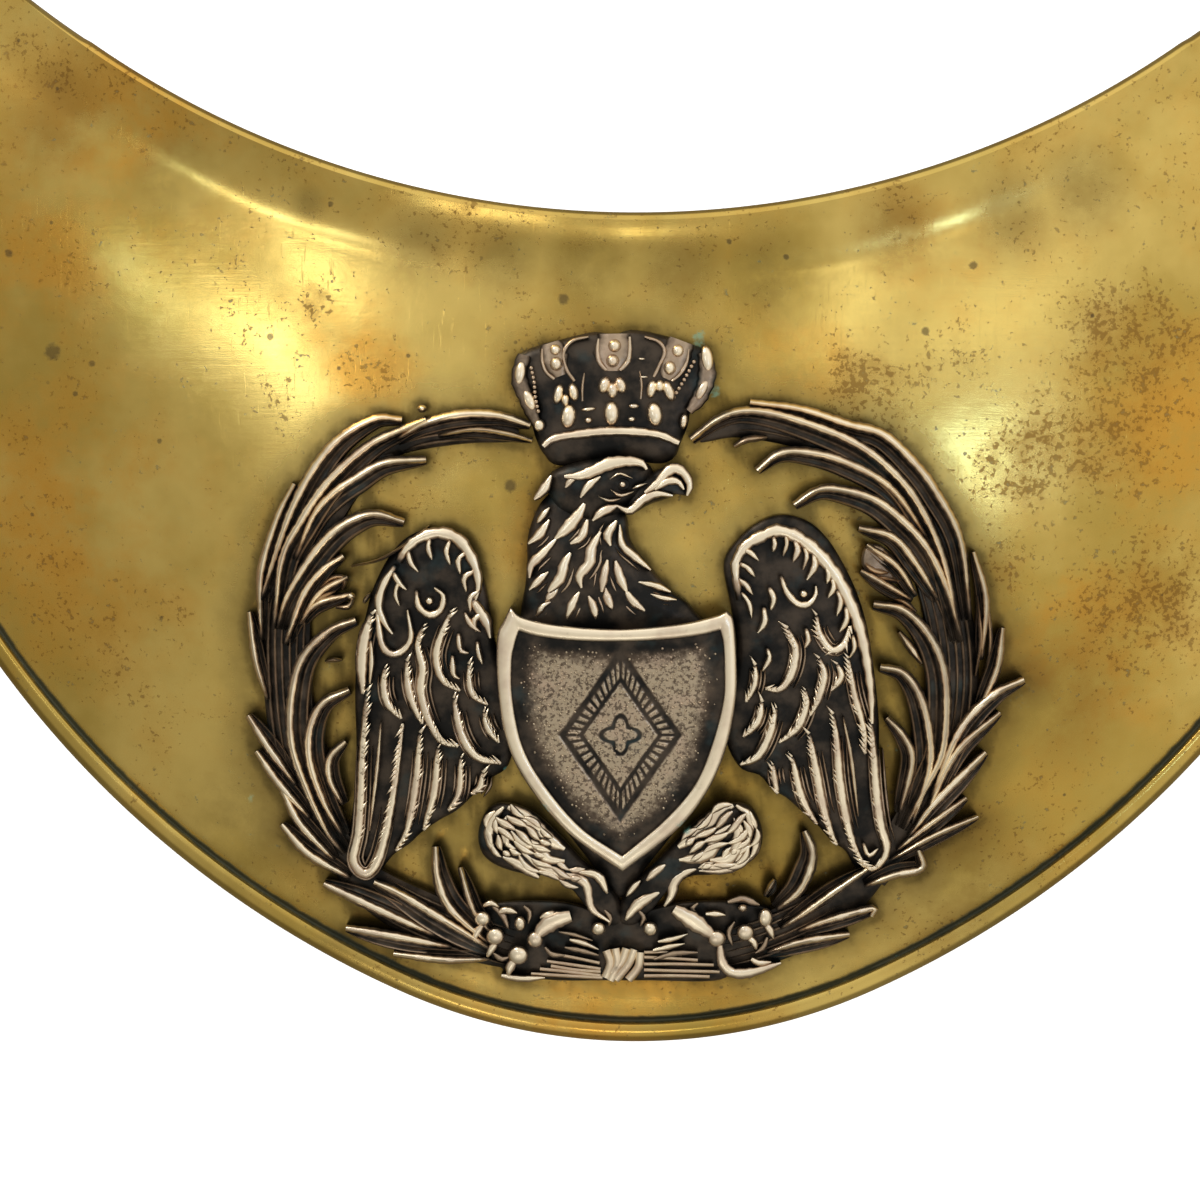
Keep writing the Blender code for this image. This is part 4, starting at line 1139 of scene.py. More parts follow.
LEFT_WING_EDGES = [
    (11, [(373, 614), (366, 638), (363, 664), (364, 694)]),
    (8, [(386, 668), (385, 690), (390, 706), (402, 719)]),
    (8, [(408, 661), (409, 684), (413, 701), (423, 724)]),
    (9, [(425, 626), (419, 645), (424, 668), (422, 690), (429, 718), (442, 741), (459, 747)]),
    (8, [(452, 612), (438, 652), (444, 680), (461, 691)]),
    (9, [(455, 698), (463, 735), (478, 757), (502, 764)]),
    (7, [(470, 664), (473, 693), (489, 705)]),
    (7, [(485, 712), (489, 728), (500, 743)]),
    (9, [(368, 691), (363, 755), (361, 800), (358, 835), (353, 862), (364, 876), (376, 866), (386, 834),
         (396, 781), (404, 724)]),
    (8, [(421, 733), (417, 781), (408, 830), (396, 852)]),
    (8, [(439, 748), (435, 793), (424, 831)]),
    (7, [(462, 758), (460, 793), (449, 811)]),
    (7, [(484, 773), (481, 788), (472, 794)]),
]
LEFT_WING_PLAIN = [
    (11, [(400, 562), (408, 549), (420, 539), (439, 533), (458, 538), (470, 552), (478, 570), (480, 588),
          (477, 600)]),
    (8, [(397, 566), (387, 581), (381, 597), (381, 611), (388, 626), (394, 634)]),
    (5, [(401, 580), (397, 594), (401, 606)]),
    (10, [(474, 600), (482, 612), (489, 624), (492, 638)]),
    (6, [(466, 612), (472, 624), (482, 632)]),
    (5, [(372, 640), (373, 660), (371, 684)]),
    (7, [(418, 590), (420, 606), (431, 615), (442, 610), (445, 596), (436, 588)]),
    (7, [(378, 608), (384, 646), (398, 654), (412, 639), (409, 610)]),
    (4, [(382, 722), (378, 768), (370, 832)]),
    (6, [(460, 633), (462, 650), (470, 653)]),
    (6, [(454, 655), (455, 674), (461, 679)]),
    (6, [(479, 641), (480, 652), (484, 664)]),
    (6, [(432, 538), (430, 548), (434, 560)]),
    (6, [(452, 540), (448, 552), (452, 565)]),
    (6, [(468, 552), (460, 560), (462, 574)]),
    (6, [(477, 570), (466, 578), (468, 592)]),
    (6, [(482, 590), (472, 598), (472, 612)]),
    (6, [(410, 550), (412, 562), (420, 572)]),
    (6, [(395, 572), (400, 582), (408, 590)]),
    (6, [(486, 612), (476, 620), (478, 632)]),
]
FEATHER_RISE = 0.75 * MILLIMETRE
BARB_ROWS = [
    # how far beside a feather's bright edge, in pixels, and wear
    (5.5, 0.52), (9.5, 0.40), (-5.5, 0.46),
]
BARB_ROW_WIDTH = 2.6
RIM_FROM = 10
RIM_LUMPS = 0.18
RIM_PITCH = 19.0
BARB_ROW_SHARE = 0.6
RIM_LIFT = 1.1
WING_EYES = [(805, 594), (431, 601)]
WING_EYE_SIZE = 9


def add_wings(form):
    for width, crest in RIGHT_WING_EDGES + LEFT_WING_EDGES:
        ridge(form, crest, width, FEATHER_RISE, base=WING_RISE, root=0.4, tip=0.35, fade=0.1)
        for offset, wear in BARB_ROWS:
            ridge(form, beside(crest, offset), BARB_ROW_WIDTH, FEATHER_RISE * BARB_ROW_SHARE, base=WING_RISE,
                  root=0.3, tip=0.2, fade=0, wear=wear)
    for width, crest in RIGHT_WING_PLAIN + LEFT_WING_PLAIN:
        lumps = RIM_LUMPS if width > RIM_FROM else HAND_REACH
        ridge(form, crest, width, FEATHER_RISE * RIM_LIFT, base=WING_RISE, root=0.5, tip=0.35, fade=0.08,
              reach=lumps, pitch=RIM_PITCH)
    for x, y in WING_EYES:
        dome(form, x, y, WING_EYE_SIZE, WING_EYE_SIZE, WING_RISE, FEATHER_RISE)


# %% Head, neck and legs
HEAD_STROKES = [
    # width in pixels, base in millimetres, then the crest
    (11, 2.0, [(566, 477), (582, 476), (596, 471), (612, 464), (630, 462), (643, 464), (648, 470)]),
    (7, 1.9, [(582, 498), (590, 486), (602, 477)]),
    (8, 1.4, [(536, 500), (546, 489), (553, 476)]),
    (7, 1.7, [(567, 488), (573, 480), (581, 474)]),
    (9, 2.0, [(646, 493), (658, 484), (668, 473), (677, 469), (686, 475), (691, 486), (688, 496)]),
    (7, 2.0, [(656, 490), (668, 482), (679, 482), (685, 490)]),
    (8, 1.8, [(618, 506), (631, 511), (644, 500), (658, 494), (674, 496)]),
    (8, 1.8, [(594, 521), (604, 512), (619, 506)]),
    (3, 1.9, [(611, 480), (621, 474), (634, 479)]), (3, 1.9, [(612, 490), (622, 496), (635, 492)]),
    (3, 1.8, [(634, 489), (641, 486), (648, 484)]), (3, 1.8, [(600, 497), (611, 501), (622, 499)]),
]
NECK_STROKES = [
    (6, 1.3, [(539, 523), (545, 515), (551, 508)]),
    (8, 1.3, [(530, 544), (541, 535), (551, 520)]),
    (11, 1.7, [(557, 539), (569, 528), (580, 515), (586, 504)]),
    (8, 1.4, [(531, 578), (533, 565), (544, 554), (558, 539)]),
    (8, 1.8, [(572, 544), (583, 537), (589, 520)]),
    (10, 1.6, [(550, 592), (562, 578), (566, 564), (572, 553)]),
    (7, 1.3, [(531, 590), (541, 580), (550, 572)]),
    (10, 1.8, [(583, 588), (581, 576), (591, 563), (593, 549), (602, 532)]),
    (8, 1.8, [(612, 546), (609, 535), (618, 521)]),
    (8, 1.7, [(603, 592), (606, 574), (609, 560)]),
    (9, 1.6, [(628, 592), (621, 576), (617, 561)]),
    (7, 1.5, [(652, 570), (635, 556), (623, 544), (621, 525)]),
    (6, 1.2, [(672, 592), (658, 586), (640, 582)]),
    (8, 1.4, [(568, 619), (575, 602), (581, 592)]),
    (8, 1.5, [(598, 619), (594, 604), (590, 596)]),
    (8, 1.5, [(614, 610), (609, 598), (607, 588)]),
    (8, 1.4, [(646, 611), (634, 601), (627, 590)]),
    (8, 1.2, [(547, 601), (554, 594), (560, 586)]),
    (5, 1.2, [(678, 600), (664, 598), (652, 594)]),
    (6, 1.2, [(538, 616), (545, 606), (552, 602)]),
]
RIGHT_LEG_STROKES = [
    (15, 1.4, [(680, 848), (692, 840), (706, 829), (720, 815), (735, 806)]),
    (9, 1.4, [(748, 852), (751, 836), (751, 817), (738, 806)]),
    (8, 1.2, [(701, 872), (728, 871), (747, 861), (758, 851), (762, 836)]),
    (12, 1.5, [(681, 861), (699, 859), (713, 852), (720, 836), (733, 826)]),
    (11, 1.5, [(712, 861), (729, 861), (738, 851), (740, 838), (737, 820)]),
    (9, 1.3, [(666, 908), (673, 898), (676, 884), (685, 875), (698, 870)]),
    (10, 1.3, [(627, 922), (637, 909), (646, 902), (661, 894)]),
    (8, 1.3, [(648, 882), (657, 873), (667, 866)]),
    (6, 1.2, [(628, 898), (636, 888), (642, 882)]),
]
LEFT_LEG_STROKES = [
    (15, 1.4, [(566, 850), (552, 842), (538, 830), (524, 816), (509, 808)]),
    (9, 1.4, [(496, 856), (490, 838), (494, 820), (505, 808)]),
    (9, 1.3, [(504, 858), (517, 864), (540, 879)]),
    (9, 1.3, [(517, 847), (539, 866), (560, 875), (586, 884), (593, 910), (611, 924)]),
    (11, 1.5, [(512, 832), (524, 846), (536, 846), (549, 860), (566, 862)]),
    (9, 1.5, [(520, 820), (530, 824), (548, 834)]),
    (8, 1.4, [(579, 873), (599, 877), (609, 895)]),
    (7, 1.4, [(504, 826), (506, 842), (518, 852)]),
]
STRAND_SHARE = 0.34
STRAND_WEAR = 0.60
NECK_MIDDLE = 605
PLUME_RISE = 0.55 * MILLIMETRE
STRAND_RISE = 0.40 * MILLIMETRE
STRAND_SINK = 0.1
STRAND_OFFSET = 0.80
STRAND_SPACE = 2
EYES = [
    # width, height, rise in millimetres, wear: the dark socket and the bright eye
    (15, 13, 0.15, 0.0), (7, 7, 0.45, 1.0),
]
EYE_PLACE = (624, 485)
EYE_BASE = 1.9 * MILLIMETRE


def add_plumage(form):
    for width, base, crest in HEAD_STROKES + NECK_STROKES + RIGHT_LEG_STROKES + LEFT_LEG_STROKES:
        ridge(form, crest, width, PLUME_RISE, base=base * MILLIMETRE, root=0.3, tip=0.3, fade=0)
    for width, base, crest in NECK_STROKES:
        side = 1 if crest[1][0] > NECK_MIDDLE else -1
        strand = beside(crest, side * (STRAND_OFFSET * width + STRAND_SPACE))
        ridge(form, strand, STRAND_SHARE * width, STRAND_RISE, base=(base - STRAND_SINK) * MILLIMETRE,
              root=0.2, tip=0.2, fade=0, wear=STRAND_WEAR)
    for wide, high, rise, wear in EYES:
        dome(form, *EYE_PLACE, wide, high, EYE_BASE, rise * MILLIMETRE, wear=wear)


# %% Tufts of the thighs
TUFTS = [
    # how many locks, width of each, base in millimetres, the first and the last lock
    (4, 6.5, 1.75,
     [(734, 805), (716, 812), (700, 828), (684, 842)], [(757, 822), (740, 838), (720, 848), (690, 860)]),
    (3, 6.0, 1.6,
     [(752, 812), (758, 824), (756, 842), (742, 858)], [(738, 818), (742, 832), (738, 846), (722, 860)]),
    (3, 6.0, 1.5,
     [(762, 836), (756, 856), (730, 868), (704, 872)], [(750, 848), (738, 860), (718, 866), (698, 868)]),
    (4, 6.5, 1.75,
     [(512, 805), (526, 818), (540, 828), (556, 838)], [(492, 822), (508, 838), (526, 848), (548, 862)]),
    (3, 6.0, 1.6,
     [(496, 812), (488, 826), (490, 842), (504, 858)], [(510, 818), (504, 832), (510, 846), (524, 858)]),
    (3, 6.0, 1.5,
     [(520, 856), (534, 870), (556, 880), (582, 888)], [(540, 850), (552, 862), (568, 868), (586, 872)]),
]
LOCK_PARTS = [(0.0, 0.40), (0.34, 0.74), (0.68, 1.0)]
LOCK_WAVE = 2.4
LOCK_RISE = 0.4 * MILLIMETRE
LOCK_BENDS = 9
LOCK_PHASE = 0.7
LOCK_ARCH = 0.15
LOCK_SHIFT = 0.10
LOCK_STRIDE = 4


def add_tufts(form):
    """Short wavy locks, each row of them shifted against the next."""
    for count, width, base, first, last in TUFTS:
        first = np.array(first, float)
        last = np.array(last, float)
        for number in range(count):
            share = number / (count - 1)
            lock = smooth_path(first + (last - first) * share, FINE_STEP)
            places = np.linspace(0, 1, len(lock))
            ahead = np.gradient(lock, axis=0)
            aside = np.stack([-ahead[:, 1], ahead[:, 0]], axis=1)
            lock += aside * (LOCK_WAVE * np.sin(LOCK_BENDS * places + LOCK_PHASE * number))[:, None]
            lift = base + LOCK_ARCH * math.sin(math.pi * share)
            for begin, end in LOCK_PARTS:
                shift = LOCK_SHIFT * (number % 2)
                part = lock[(places >= begin + shift) & (places <= end + shift)][::LOCK_STRIDE]
                ridge(form, part, width, LOCK_RISE, base=lift * MILLIMETRE, root=0.25, tip=0.15, fade=0)


# %% Toes and claws
TOE_STROKES = [
    # width, base in millimetres, then the crest
    (15, 1.6, [(676, 911), (692, 921), (706, 931), (719, 941)]),
    (9, 1.3, [(722, 946), (725, 966), (736, 976), (756, 975), (784, 966)]),
    (6, 1.3, [(754, 962), (762, 966), (774, 965)]),
    (6, 1.3, [(708, 916), (718, 916), (728, 917)]),
    (7, 1.3, [(768, 926), (773, 933), (776, 941)]),
    (7, 1.3, [(750, 940), (756, 944), (759, 952)]),
    (15, 1.6, [(572, 918), (556, 923), (544, 931), (536, 942)]),
    (10, 1.4, [(560, 921), (552, 918), (541, 920)]),
    (8, 1.3, [(516, 962), (511, 970), (509, 979)]),
    (6, 1.0, [(502, 979), (522, 982), (546, 981)]),
    (7, 1.3, [(484, 926), (478, 934), (474, 944)]),
    (7, 1.3, [(498, 944), (492, 952), (488, 960)]),
    (7, 1.3, [(500, 914), (508, 912), (518, 915)]),
    (6, 1.2, [(484, 908), (492, 905), (500, 909)]),
    (5, 1.2, [(655, 953), (672, 949), (687, 946)]),
    (5, 1.2, [(660, 944), (676, 941), (690, 936)]),
    (5, 1.1, [(571, 942), (586, 946), (600, 952)]),
]
TOE_BALLS = [
    # x, y, width, height
    (652, 931, 15, 15), (719, 941, 19, 18), (748, 935, 18, 18), (768, 920, 15, 20), (745, 910, 10, 8),
    (483, 921, 17, 16), (496, 939, 19, 19), (521, 926, 12, 16), (536, 942, 17, 18), (519, 958, 21, 20),
    (600, 931, 15, 14),
]
DULL_TOES = [
    (5, 1.0, [(566, 950), (582, 953), (600, 958)]),
    (4, 1.0, [(560, 934), (575, 937), (594, 943)]),
    (6, 1.1, [(493, 908), (504, 918), (509, 931)]),
    (5, 1.1, [(525, 908), (531, 915), (529, 926)]),
    (7, 1.1, [(730, 904), (745, 901), (762, 907)]),
    (5, 1.1, [(737, 924), (731, 935), (735, 948)]),
    (5, 1.1, [(546, 950), (553, 957), (566, 958)]),
    (5, 1.1, [(700, 905), (694, 911), (700, 919)]),
    (5, 1.1, [(640, 912), (646, 920), (642, 928)]),
    (5, 1.1, [(606, 912), (612, 920), (610, 928)]),
    (5, 1.1, [(656, 962), (676, 956), (700, 955)]),
    (5, 1.1, [(770, 940), (766, 950), (758, 956)]),
    (5, 1.1, [(494, 956), (502, 962), (510, 960)]),
]
DULL_WEAR = 0.46
DULL_TOE_RISE = 0.5 * MILLIMETRE
TOE_RISE = 0.6 * MILLIMETRE
BALL_BASE = 1.4 * MILLIMETRE
BALL_RISE = 0.9 * MILLIMETRE


def add_feet(form):
    for width, base, crest in DULL_TOES:
        ridge(form, crest, width, DULL_TOE_RISE, base=base * MILLIMETRE, root=0.4, tip=0.3, fade=0,
              wear=DULL_WEAR)
    for width, base, crest in TOE_STROKES:
        ridge(form, crest, width, TOE_RISE, base=base * MILLIMETRE, root=0.6, tip=0.25, fade=0)
    for x, y, wide, high in TOE_BALLS:
        dome(form, x, y, wide, high, BALL_BASE, BALL_RISE)


eagle = Form()
add_masses(eagle)
add_wings(eagle)
add_plumage(eagle)
add_tufts(eagle)
add_feet(eagle)
eagle_mesh = eagle.mesh("eagle_relief")
add_piece("eagle_relief", eagle_mesh, SILVER, "silver", "eagle")

# %% [markdown]
# ## The crown
# A closed crown: a smooth band, five arches set with rosettes, fleurons and pearls, and the cap
# showing dark between them.

# %% Crown
CROWN_OUTLINE = [
    (534, 424), (536, 410), (527, 393), (516, 378), (517, 362), (524, 353), (542, 346), (569, 339),
    (596, 333), (615, 336), (632, 331), (659, 335), (686, 343), (707, 351), (716, 364), (714, 382),
    (701, 400), (692, 411), (689, 426), (682, 443), (677, 456), (662, 464), (620, 460), (562, 466),
    (546, 455), (538, 440),
]
CROWN_RISE = 1.1 * MILLIMETRE
CROWN_SWELL = 0.3 * MILLIMETRE
ARCH_RISE = 0.45 * MILLIMETRE
BAND_RISE = 0.8 * MILLIMETRE
BAND_WIDTH = 9
STUD_FOOT = 0.8
CROWN_ARCHES = [
    # width, wear, then the line upwards
    (13, 0.30, [(541, 430), (530, 404), (521, 378), (526, 356)]),
    (22, 0.44, [(562, 377), (558, 366), (555, 354), (552, 344)]),
    (31, 0.50, [(614, 372), (614, 358), (615, 346), (615, 335)]),
    (24, 0.46, [(668, 380), (673, 368), (678, 355), (683, 342)]),
    (14, 0.36, [(690, 412), (701, 398), (708, 378), (706, 354)]),
    (5, 0.80, [(600, 340), (599, 352), (601, 363), (608, 371)]),
    (5, 0.80, [(631, 338), (631, 352), (629, 363), (621, 371)]),
    (4, 0.56, [(590, 338), (574, 342), (565, 354), (568, 370), (576, 382)]),
    (4, 0.56, [(646, 338), (660, 343), (666, 353), (660, 368), (655, 378)]),
    (4, 0.74, [(544, 350), (544, 362), (548, 373), (556, 380)]),
    (4, 0.74, [(690, 350), (688, 363), (682, 374), (673, 382)]),
    (3, 0.50, [(586, 374), (584, 388), (584, 402)]),
    (3, 0.50, [(641, 372), (643, 386), (642, 400)]),
]
CROWN_BAND = [(545, 447), (556, 439), (587, 434), (619, 432), (658, 435), (680, 444)]
CROWN_STUDS = [
    # x, y, width, height, lift in millimetres, turn in degrees
    (616, 347, 14, 14, 1.9, 0), (614, 362, 14, 14, 2.0, 0), (557, 351, 12, 12, 1.7, 0),
    (558, 365, 14, 15, 1.9, 0), (679, 352, 13, 14, 1.7, 0), (671, 369, 13, 15, 1.9, 0),
    (613, 414, 17, 26, 2.0, 0), (570, 417, 17, 26, 1.9, 8), (656, 415, 17, 26, 1.9, -8),
    (606, 386, 13, 19, 1.9, 20), (622, 386, 13, 19, 1.9, -20), (614, 391, 13, 18, 2.0, 0),
    (560, 395, 11, 22, 1.8, 14), (575, 393, 11, 20, 1.8, -12), (567, 401, 9, 14, 1.8, 0),
    (653, 390, 11, 20, 1.8, 12), (670, 392, 12, 23, 1.8, -22), (661, 387, 10, 14, 1.8, 0),
    (522, 374, 12, 26, 1.5, 8), (531, 401, 12, 24, 1.5, -24), (541, 426, 12, 13, 1.5, 0),
    (708, 360, 13, 28, 1.5, -8), (703, 391, 11, 24, 1.5, 28), (685, 422, 8, 16, 1.5, 10),
    (590, 410, 17, 5, 1.5, -6), (590, 421, 9, 7, 1.5, 0), (635, 407, 12, 6, 1.5, 0),
    (633, 420, 9, 6, 1.5, 0), (645, 378, 10, 3, 1.2, 0), (643, 360, 8, 3, 1.2, 0),
]
BEAD_STRINGS = [
    [(533, 369), (536, 384), (537, 398), (540, 412)],
    [(695, 363), (688, 376), (681, 388), (675, 398)],
]


def make_crown():
    crown = Form()
    mound(crown, CROWN_OUTLINE, CROWN_RISE, crown=CROWN_SWELL)
    for width, wear, crest in CROWN_ARCHES:
        ridge(crown, crest, width, ARCH_RISE, base=CROWN_RISE, root=0.5, tip=0.8, fade=0, wear=wear)
    ridge(crown, CROWN_BAND, BAND_WIDTH, BAND_RISE, base=CROWN_RISE, root=0.7, tip=0.7, fade=0)
    for x, y, wide, high, lift, turn in CROWN_STUDS:
        rise = (lift - STUD_FOOT) * MILLIMETRE
        dome(crown, x, y, wide, high, CROWN_RISE, rise, turn=math.radians(turn))
    return crown


crown = make_crown()
crown_mesh = crown.mesh("crown_relief")
add_piece("crown_relief", crown_mesh, SILVER, "silver", "crown")

# %% [markdown]
# ## The shield
# A bevelled frame stands round a field that was punched all over and then engraved. The engraved
# place holds a plain ladder-hatched lozenge with a four-lobed flower in it. The rings of points
# follow the frame and close in on the middle, finely enough for the lines to be real grooves.

# %% Shield outlines
SHIELD_OUTER = [
    # top, right and left sides, each from corner to corner
    [(512, 607), (524, 617), (560, 625), (620, 629), (680, 624), (716, 616), (728, 611)],
    [(728, 611), (735, 622), (738, 664), (737, 701), (728, 747), (711, 788), (680, 829), (624, 873)],
    [(624, 873), (569, 833), (528, 783), (507, 738), (499, 684), (499, 637), (505, 622), (512, 607)],
]
SHIELD_INNER = [
    [(521, 632), (540, 637), (575, 641), (620, 642), (665, 640), (700, 636), (721, 631)],
    [(721, 631), (724, 645), (725, 668), (724, 701), (712, 747), (695, 786), (665, 821), (624, 856)],
    [(624, 856), (583, 828), (547, 786), (525, 747), (515, 701), (514, 664), (517, 645), (521, 632)],
]
SHIELD_MIDDLE = (622, 735)
SHIELD_BASE = 1.3 * MILLIMETRE
FRAME_RINGS = [
    # share from the outer to the inner outline, height in millimetres, wear
    (0.0, -1.3, 0.0), (0.0, 1.15, 0.2), (0.10, 1.42, 1.0), (0.26, 1.55, 1.0), (0.5, 1.58, 0.95),
    (0.76, 1.53, 1.0), (0.90, 1.42, 0.9), (0.97, 1.2, 0.1), (1.0, 1.08, 0.0),
]
FIELD_HEIGHT = 1.08 * MILLIMETRE
FIELD_RINGS = 90
SIDE_POINTS = 110
ENGRAVED_DEPTH = 0.10 * MILLIMETRE
LOZENGE_HALF = (58, 82)
LOZENGE_BAND = 15
LINE_HALF = 3.2
RUNG_PITCH = 9.0
RUNG_HALF = 2.0
RING_RADIUS = 15
PETAL_REACH = 0.28
FIELD_WEAR = 0.66
DARK_BORDER = 0.06
FIELD_FADE = 0.26
GRAIN_FADE = 0.25
STROKE_SOFTNESS = 1.5
INNER_LINE = 0.7
FLOWER_LINE = 0.8
LEAST_LEVEL = 0.01


def shield_ring(sides):
    """A shield outline with the same number of points on each side."""
    places = []
    for side in sides:
        fine = smooth_path(side, FINE_STEP)
        picks = np.linspace(0, len(fine) - 1, SIDE_POINTS, endpoint=False)
        steps = np.arange(len(fine))
        places.append(np.stack([np.interp(picks, steps, fine[:, axis]) for axis in (0, 1)], axis=1))
    return np.concatenate(places)


def engraving(places):
    """1 on the graver's lines, 0 off them, for places in pixels."""
    across = np.abs(places[:, 0] - SHIELD_MIDDLE[0])
    down = np.abs(places[:, 1] - SHIELD_MIDDLE[1])
    wide, high = LOZENGE_HALF
    level = across / wide + down / high
    inside = (1 - level) / math.hypot(1 / wide, 1 / high)
    edge_length = math.hypot(wide, high)
    down_edge = down / high / np.maximum(level, LEAST_LEVEL) * edge_length
    outer_line = stroke_mark(inside, LINE_HALF)
    inner_line = stroke_mark(inside - LOZENGE_BAND, LINE_HALF * INNER_LINE)
    from_rung = np.abs((down_edge + RUNG_PITCH / 2) % RUNG_PITCH - RUNG_PITCH / 2)
    between = (inside > 0) & (inside < LOZENGE_BAND)
    rungs = np.where(between, stroke_mark(from_rung, RUNG_HALF), 0)
    petals = 1 + PETAL_REACH * np.cos(4 * np.arctan2(down, across))
    ring = stroke_mark(np.hypot(across, down) - RING_RADIUS * petals, LINE_HALF * FLOWER_LINE)
    return np.maximum.reduce([outer_line, inner_line, rungs, ring])


def stroke_mark(distance, half):
    return np.clip(STROKE_SOFTNESS - np.abs(distance) / half, 0, 1)


def make_shield():
    outer = shield_ring(SHIELD_OUTER)
    inner = shield_ring(SHIELD_INNER)
    rings = []
    worn = []
    for share, height, wear in FRAME_RINGS:
        places = outer + (inner - outer) * share
        up = np.full(len(places), SHIELD_BASE + height * MILLIMETRE)
        rings.append(np.concatenate([plan(places), up[:, None]], axis=1))
        worn.append(np.full(len(places), wear))
    for step in range(1, FIELD_RINGS):
        share = step / FIELD_RINGS
        places = inner + (np.array(SHIELD_MIDDLE) - inner) * share
        mark = engraving(places)
        up = SHIELD_BASE + FIELD_HEIGHT - mark * ENGRAVED_DEPTH
        rings.append(np.concatenate([plan(places), up[:, None]], axis=1))
        polished = np.clip((share - DARK_BORDER) / FIELD_FADE, 0, 1)
        worn.append(polished * (1 - mark) * FIELD_WEAR)
    shield = Form()
    points = np.array(rings)
    shield.add(points, np.array(worn), ring_faces(len(rings), len(outer)))
    return shield


shield = make_shield()
shield_mesh = shield.mesh("shield_plate")
add_piece("shield_plate", shield_mesh, SHIELD_SILVER, "silver", "shield")

# %% [markdown]
# ## What repeats
# Barbs along the feathers, beads along the crown, grains on the field and the bundle of stems are
# the same small shape many times over. Geometry Nodes put them along a path or over a surface.
# Each tree has named inputs, and its result is made a plain mesh and laid on the plate.

# %% Helpers for the node trees
class Grower(Graph):
    """A Geometry Nodes tree under construction, whose inputs are numbers, a seed and a finish."""

    def __init__(self, name, numbers, seeded=False):
        self.tree = bpy.data.node_groups.new(name, "GeometryNodeTree")
        self.tree.interface.new_socket("Geometry", in_out="INPUT", socket_type="NodeSocketGeometry")
        inputs = [(title, "NodeSocketFloat") for title in numbers]
        if seeded:
            inputs.append(("Seed", "NodeSocketInt"))
        inputs.append(("Finish", "NodeSocketMaterial"))
        self.keys = {}
        for title, kind in inputs:
            socket = self.tree.interface.new_socket(title, in_out="INPUT", socket_type=kind)
            self.keys[title] = socket.identifier
        self.tree.interface.new_socket("Geometry", in_out="OUTPUT", socket_type="NodeSocketGeometry")
        self.start = self.tree.nodes.new("NodeGroupInput")

    def given(self, title):
        return Signal(self, self.start.outputs[title])

    def curve(self):
        """The edges of the guide as a curve."""
        return self.node("GeometryNodeMeshToCurve", {}, {0: self.given("Geometry")})

    def spaced(self):
        """The curve with a point at each step of the given spacing."""
        return self.node(
            "GeometryNodeResampleCurve", {"mode": "LENGTH"},
            {"Curve": self.curve(), "Length": self.given("Spacing")})

    def sizes(self, least, most):
        """A random size for each copy."""
        return self.node(
            "FunctionNodeRandomValue", {"data_type": "FLOAT"},
            {2: least, 3: most, "Seed": self.given("Seed")}, output=1)

    def ball(self, fineness):
        return self.node(
            "GeometryNodeMeshIcoSphere", {}, {"Radius": self.given("Radius"), "Subdivisions": fineness})

    def finish(self, geometry):
        """Make the copies real, mark their wear and give them the finish."""
        real = self.node("GeometryNodeRealizeInstances", {}, {0: geometry})
        marked = self.node(
            "GeometryNodeStoreNamedAttribute", {"data_type": "FLOAT", "domain": "POINT"},
            {"Geometry": real, "Name": "worn", "Value": self.given("Wear")})
        painted = self.node(
            "GeometryNodeSetMaterial", {}, {"Geometry": marked, "Material": self.given("Finish")})
        end = self.tree.nodes.new("NodeGroupOutput")
        self.feed(end.inputs[0], painted)
        return self

    def grow(self, guide, **values):
        """The tree's result on a guide mesh, as a plain mesh."""
        thing = placed("guide", guide)
        modifier = thing.modifiers.new("Grow", "NODES")
        modifier.node_group = self.tree
        for title, value in values.items():
            modifier[self.keys[title.replace("_", " ")]] = value
        mesh = evaluated_mesh(thing)
        bpy.data.objects.remove(thing)
        return mesh


def path_guide(paths, height, step=3.0):
    """Polylines in plan at a height, as a mesh of edges."""
    points = []
    edges = []
    for path in paths:
        places = plan(smooth_path(path, step))
        first = len(points)
        points += [(x, y, height) for x, y in places]
        edges += [(first + k, first + k + 1) for k in range(len(places) - 1)]
    guide = bpy.data.meshes.new("guide")
    guide.from_pydata(points, edges, [])
    return guide


def laid(mesh, name):
    """Lay a flat mesh on the plate and show it smooth."""
    points = mesh_points(mesh)
    points[:, 2] += seat(points[:, 0], points[:, 1])
    mesh.vertices.foreach_set("co", points.ravel())
    mesh.name = name
    mesh.shade_smooth()
    return mesh


# %% Barbs along the feathers
BARB_SIDES = 5
BARB_POINT = 0.00001
BARB_SIZES = (0.45, 1.20)


def barb_tree():
    grower = Grower("barbs along feathers", ["Spacing", "Length", "Thickness", "Lean", "Wear"], seeded=True)
    spaced = grower.spaced()
    barb = grower.node("GeometryNodeMeshCone", {}, {
        "Vertices": BARB_SIDES, "Radius Top": BARB_POINT, "Radius Bottom": grower.given("Thickness"),
        "Depth": grower.given("Length")})
    lying = grower.node("GeometryNodeTransform", {}, {"Geometry": barb, "Rotation": (0, math.pi / 2, 0)})
    tangent = grower.node("GeometryNodeInputTangent")
    facing = grower.node("FunctionNodeAlignRotationToVector", {"axis": "X"}, {"Vector": tangent})
    turn = grower.node("FunctionNodeAxisAngleToRotation", {}, {"Angle": grower.given("Lean")})
    turned = grower.node(
        "FunctionNodeRotateRotation", {"rotation_space": "LOCAL"}, {"Rotation": facing, "Rotate By": turn})
    barbs = grower.node("GeometryNodeInstanceOnPoints", {}, {
        "Points": spaced, "Instance": lying, "Rotation": turned, "Scale": grower.sizes(*BARB_SIZES)})
    return grower.finish(barbs)


# %% Beads along a path
BEAD_FINENESS = 2


